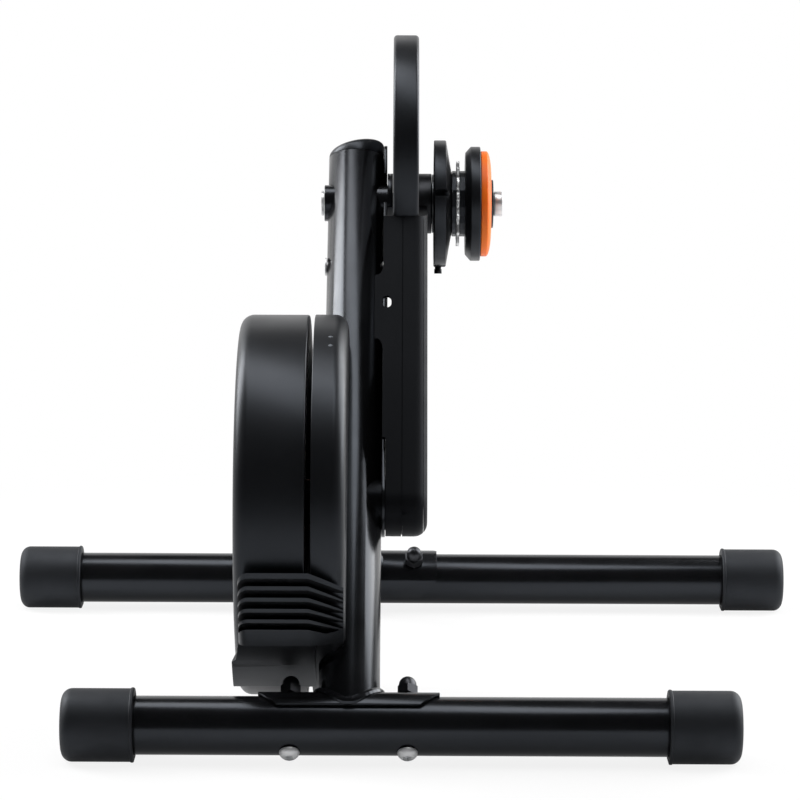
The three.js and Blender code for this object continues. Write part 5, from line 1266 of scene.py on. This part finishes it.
combined(drum, "DIFFERENCE", radial(hole, SOCKET_ANGLE, SOCKET_X))
finished(drum, moulded, "frame", "electronics_cover")

# %% Status lights
lights = None
pin_foot = DRUM_RADIUS - 6 * MM
for angle in LIGHT_ANGLES:
    pin = spun("status_light_pins", [
        (pin_foot, 0), (pin_foot, 1.5 * MM), (DRUM_RADIUS - 0.3 * MM, 1.5 * MM),
        (DRUM_RADIUS, 1.1 * MM), (DRUM_RADIUS + 0.1 * MM, 0), (pin_foot, 0),
    ], axis="Z", sides=32)
    radial(pin, angle, LIGHT_X)
    lights = joined(lights, pin) if lights else pin
finished(lights, light_pipe, "frame", "status_light")

# %% Power socket
power = spun("power_socket_body", [(DRUM_RADIUS + depth * MM, radius * MM) for depth, radius in (
    (-15, 0), (-15, 5.5), (0.3, 5.5), (0.3, 7.5), (1.5, 7.5), (1.9, 7.0), (1.9, 3.1), (1.6, 2.8),
    (-7, 2.8), (-7, 0.95), (0, 0.95), (0.4, 0.5), (0.4, 0), (-15, 0),
)], axis="Z", sides=64)
radial(power, SOCKET_ANGLE, SOCKET_X)
finished(power, moulded, "frame", "power_socket")

# %% [markdown]
# ## Guard and cooling fins
# The guard is a curved strip that runs clear of the flywheel and sits on the housing. It is the
# sector of a stepped ring, and it meets the cooling fins at one level plane. Its left edge was
# meant to slant all the way down to a small cut corner, but it slants only near the top and then
# runs straight. Bisect measures its threshold in lengths of the plane's normal, and the normals
# of these two cuts are far shorter than 1, so the slant stops early, the corner stays, and some
# faces at that end may be turned inwards. Normals of length 1 would cure this.

# %% Guard
WHEEL_CLEAR = WHEEL_RADIUS + 1.5 * MM
ON_HOUSING = DRUM_RADIUS + SEAT
HOUSING_LEFT = span("electronics_cover", "X")[0]
GUARD_OUTER = WHEEL_CLEAR + 2.4 * MM
GUARD_FROM, GUARD_TO = 35.5, 59.9
FIN_RADIUS = DRUM_RADIUS + 11.6 * MM
FIN_FROM, FIN_TO = 60.2, 82.7
CORNER_HIGH, CORNER_WIDE = 3.5, 3 * MM  # size of the guard's cut corner, in degrees and in length
FINS_BOTTOM = SHAFT.z - FIN_RADIUS * math.cos(math.radians(FIN_FROM))


def rim_point(radius, angle, x=0):
    """A point at an angle from straight down towards the rear."""
    turn = math.radians(angle)
    return Vector((x, SHAFT.y - radius * math.sin(turn), SHAFT.z - radius * math.cos(turn)))


def sector(piece, low_angle, high_angle):
    """Keeps what lies between two such angles."""
    for angle, side in ((low_angle, -1), (high_angle, 1)):
        turn = math.radians(angle)
        along = Vector((0, -math.cos(turn), math.sin(turn)))
        sliced(piece, SHAFT, along * side)
    return piece


left, right = span("flywheel_guard", "X")
top_left = span("cooling_fins", "X")[0]
guard = spun("curved_flywheel_guard", [
    (left, WHEEL_CLEAR), (left, GUARD_OUTER), (right, GUARD_OUTER), (right, ON_HOUSING),
    (HOUSING_LEFT, ON_HOUSING), (HOUSING_LEFT, WHEEL_CLEAR), (left, WHEEL_CLEAR),
], SHAFT, sides=360)
sector(guard, GUARD_FROM, GUARD_TO + 8)
sliced(guard, (0, 0, FINS_BOTTOM - 0.2 * MM), (0, 0, 1))
upper = rim_point(GUARD_OUTER, GUARD_TO, top_left)
lower = rim_point(GUARD_OUTER, GUARD_FROM + CORNER_HIGH, left)
corner = rim_point(GUARD_OUTER, GUARD_FROM, left + CORNER_WIDE)
sliced(guard, upper, (lower.z - upper.z, 0, upper.x - lower.x))
sliced(guard, lower, (corner.z - lower.z, 0, lower.x - corner.x))
rounded(guard, 0.7 * MM, 3, 50)
finished(guard, moulded, "frame", "flywheel_guard")

# %% [markdown]
# The ribbed block carries the heat of the brake away. Its left side is rounded over, its right
# side slopes down, and five slots that all slant the same way leave six ribs. Each slot is a
# slab, trimmed by a core so that a floor is left under it. Its angles are in degrees.

# %% Cooling fins
left, right = span("cooling_fins", "X")
BEND_AT = HOUSING_LEFT - 1.1 * MM
FIN_ROUND = 6.8 * MM
FIN_TILT = 37
FIN_PITCH = 3.3
FIRST_SLOT = 0.78  # from the top edge, as a share of the pitch
SLOTS = 5
FIN_GAP = 3.2 * MM
FIN_ROOT = DRUM_RADIUS + 3 * MM
RIGHT_ROOT = DRUM_RADIUS + 1.3 * MM
FINS_SOLID = 2.8


def slab(angle, thickness, shift):
    """A slanted slab through the outer edge of the ribs at an angle from straight down."""
    bpy.ops.object.select_all(action="DESELECT")
    bpy.ops.mesh.primitive_cube_add(size=1)
    made = bpy.context.object
    made.name = "slab"
    size = Matrix.Diagonal((right - left + 4 * MM, FIN_RADIUS, thickness, 1))
    slant = Matrix.Rotation(math.radians(FIN_TILT - angle), 4, "X")
    middle_x = Matrix.Translation(((left + right) / 2, 0, shift))
    return placed(made, Matrix.Translation(rim_point(FIN_RADIUS, angle)) @ slant @ middle_x @ size)


ribs = spun("ribbed_cooling_fins", [
    (left, WHEEL_CLEAR), *arc(left + FIN_ROUND, FIN_RADIUS - FIN_ROUND, FIN_ROUND, 180, 90, 10),
    (BEND_AT, FIN_RADIUS), (right, DRUM_RADIUS + 2.4 * MM), (right, ON_HOUSING),
    (HOUSING_LEFT, ON_HOUSING), (HOUSING_LEFT, WHEEL_CLEAR), (left, WHEEL_CLEAR),
], SHAFT, sides=360)
sector(ribs, FIN_FROM - 8, FIN_TO + 3 * FIN_PITCH)
sliced(ribs, (0, 0, FINS_BOTTOM), (0, 0, -1))
combined(ribs, "DIFFERENCE", slab(FIN_TO, FIN_RADIUS, FIN_RADIUS / 2))
for index in range(SLOTS):
    groove = slab(FIN_TO - (index + FIRST_SLOT) * FIN_PITCH, FIN_GAP, 0)
    core = spun("core", [
        (left - 2 * MM, 0), (left - 2 * MM, FIN_ROOT - FIN_ROUND / 2), (left + FIN_ROUND / 2, FIN_ROOT),
        (BEND_AT, FIN_ROOT), (right, RIGHT_ROOT), (right + 3 * MM, RIGHT_ROOT), (right + 3 * MM, 0),
        (left - 2 * MM, 0),
    ], SHAFT, sides=180)
    combined(groove, "DIFFERENCE", core)
    sliced(groove, SHAFT, rim_point(1, FIN_FROM + FINS_SOLID - 90) - SHAFT)
    combined(ribs, "DIFFERENCE", groove)
rounded(ribs, 0.25 * MM, 2, 40)
finished(ribs, moulded, "frame", "cooling_fins")

# %% [markdown]
# ## Floor, light and background
# The trainer stands on a pale seamless floor in a dark studio, with a pale backdrop well behind
# it. Both are plain white for the camera and for reflections, except near the trainer. There the
# camera still sees a faint shadow, and reflections see a much darker floor. The dark room is what
# makes black paint look black between its highlights.

# %% Floor
FLOOR_SIZE = 80
NEAR, FAR = 0.3, 0.8  # metres from the middle between which the floor turns plain white
WHITE_FOR_CAMERA, WHITE_FOR_REFLECTIONS = 0.86, 0.28
bpy.ops.object.select_all(action="DESELECT")
bpy.ops.mesh.primitive_plane_add(size=FLOOR_SIZE)
floor = bpy.context.object
floor.name = "studio_floor"
paper = begun("seamless paper floor", "", 0.9, colour="f4f4f4")
tree = paper["tree"]
rays = added(tree, "ShaderNodeLightPath")
camera_or_through = added(tree, "ShaderNodeMath", {"operation": "MAXIMUM"},
                          links={0: rays.outputs["Is Camera Ray"], 1: rays.outputs["Is Transmission Ray"]})
reach = added(tree, "ShaderNodeVectorMath", {"operation": "LENGTH"}, links={0: paper["place"]})
whites = []
for seen, near_white in (
    (camera_or_through.outputs["Value"], WHITE_FOR_CAMERA),
    (rays.outputs["Is Glossy Ray"], WHITE_FOR_REFLECTIONS),
):
    limits = {"From Min": NEAR, "From Max": FAR, "To Min": near_white, "To Max": 1.0}
    share = added(tree, "ShaderNodeMapRange", {"interpolation_type": "SMOOTHSTEP"}, limits,
                  {"Value": reach.outputs["Value"]})
    whites.append(added(tree, "ShaderNodeMath", {"operation": "MULTIPLY"},
                        links={0: seen, 1: share.outputs["Result"]}))
amount = added(tree, "ShaderNodeMath", {"operation": "MAXIMUM"},
               links={0: whites[0].outputs["Value"], 1: whites[1].outputs["Value"]})
white = added(tree, "ShaderNodeEmission", values={"Color": linear("ffffff"), "Strength": 1.0})
mixed = added(tree, "ShaderNodeMixShader", links={
    "Fac": amount.outputs["Value"], 1: paper["shader"].outputs["BSDF"], 2: white.outputs["Emission"]})
tree.links.new(mixed.outputs["Shader"], tree.nodes["Material Output"].inputs["Surface"])
floor.data.materials.append(paper["material"])

# %% Backdrop
BACKDROP_SIZE, BACKDROP_TOP, BACKDROP_AWAY = 14, 5, 6
bpy.ops.object.select_all(action="DESELECT")
bpy.ops.mesh.primitive_plane_add(
    size=BACKDROP_SIZE, location=(0, BACKDROP_AWAY, BACKDROP_TOP - BACKDROP_SIZE / 2),
    rotation=(TURN / 4, 0, 0))
backdrop = bpy.context.object
backdrop.name = "studio_backdrop"
backdrop.data.materials.append(paper["material"])

# %% World
world = bpy.data.worlds.new("dark studio")
bpy.context.scene.world = world
world.use_nodes = True
walls = world.node_tree.nodes["Background"]
walls.inputs["Color"].default_value = linear("e8eaec")
walls.inputs["Strength"].default_value = 0.06

# %% Lamps
AIM = Vector((0, 0, 0.2))


def soft_box(name, place, width, height, power):
    """A rectangular lamp that faces the trainer."""
    bpy.ops.object.light_add(type="AREA", location=place)
    lamp = bpy.context.object
    lamp.name = name
    lamp.rotation_euler = (AIM - Vector(place)).to_track_quat("-Z", "Y").to_euler()
    lamp.data.shape = "RECTANGLE"
    lamp.data.size = width
    lamp.data.size_y = height
    lamp.data.energy = power


soft_box("left_box", (-1.6, 0.68, 1.38), 0.9, 1.5, 49)
soft_box("right_box", (1.55, 0.7, 1.15), 1.6, 1.8, 54)
soft_box("top_box", (-0.1, -0.12, 2.4), 2.2, 0.8, 27)

# %% Colour management
bpy.context.scene.view_settings.view_transform = "Standard"
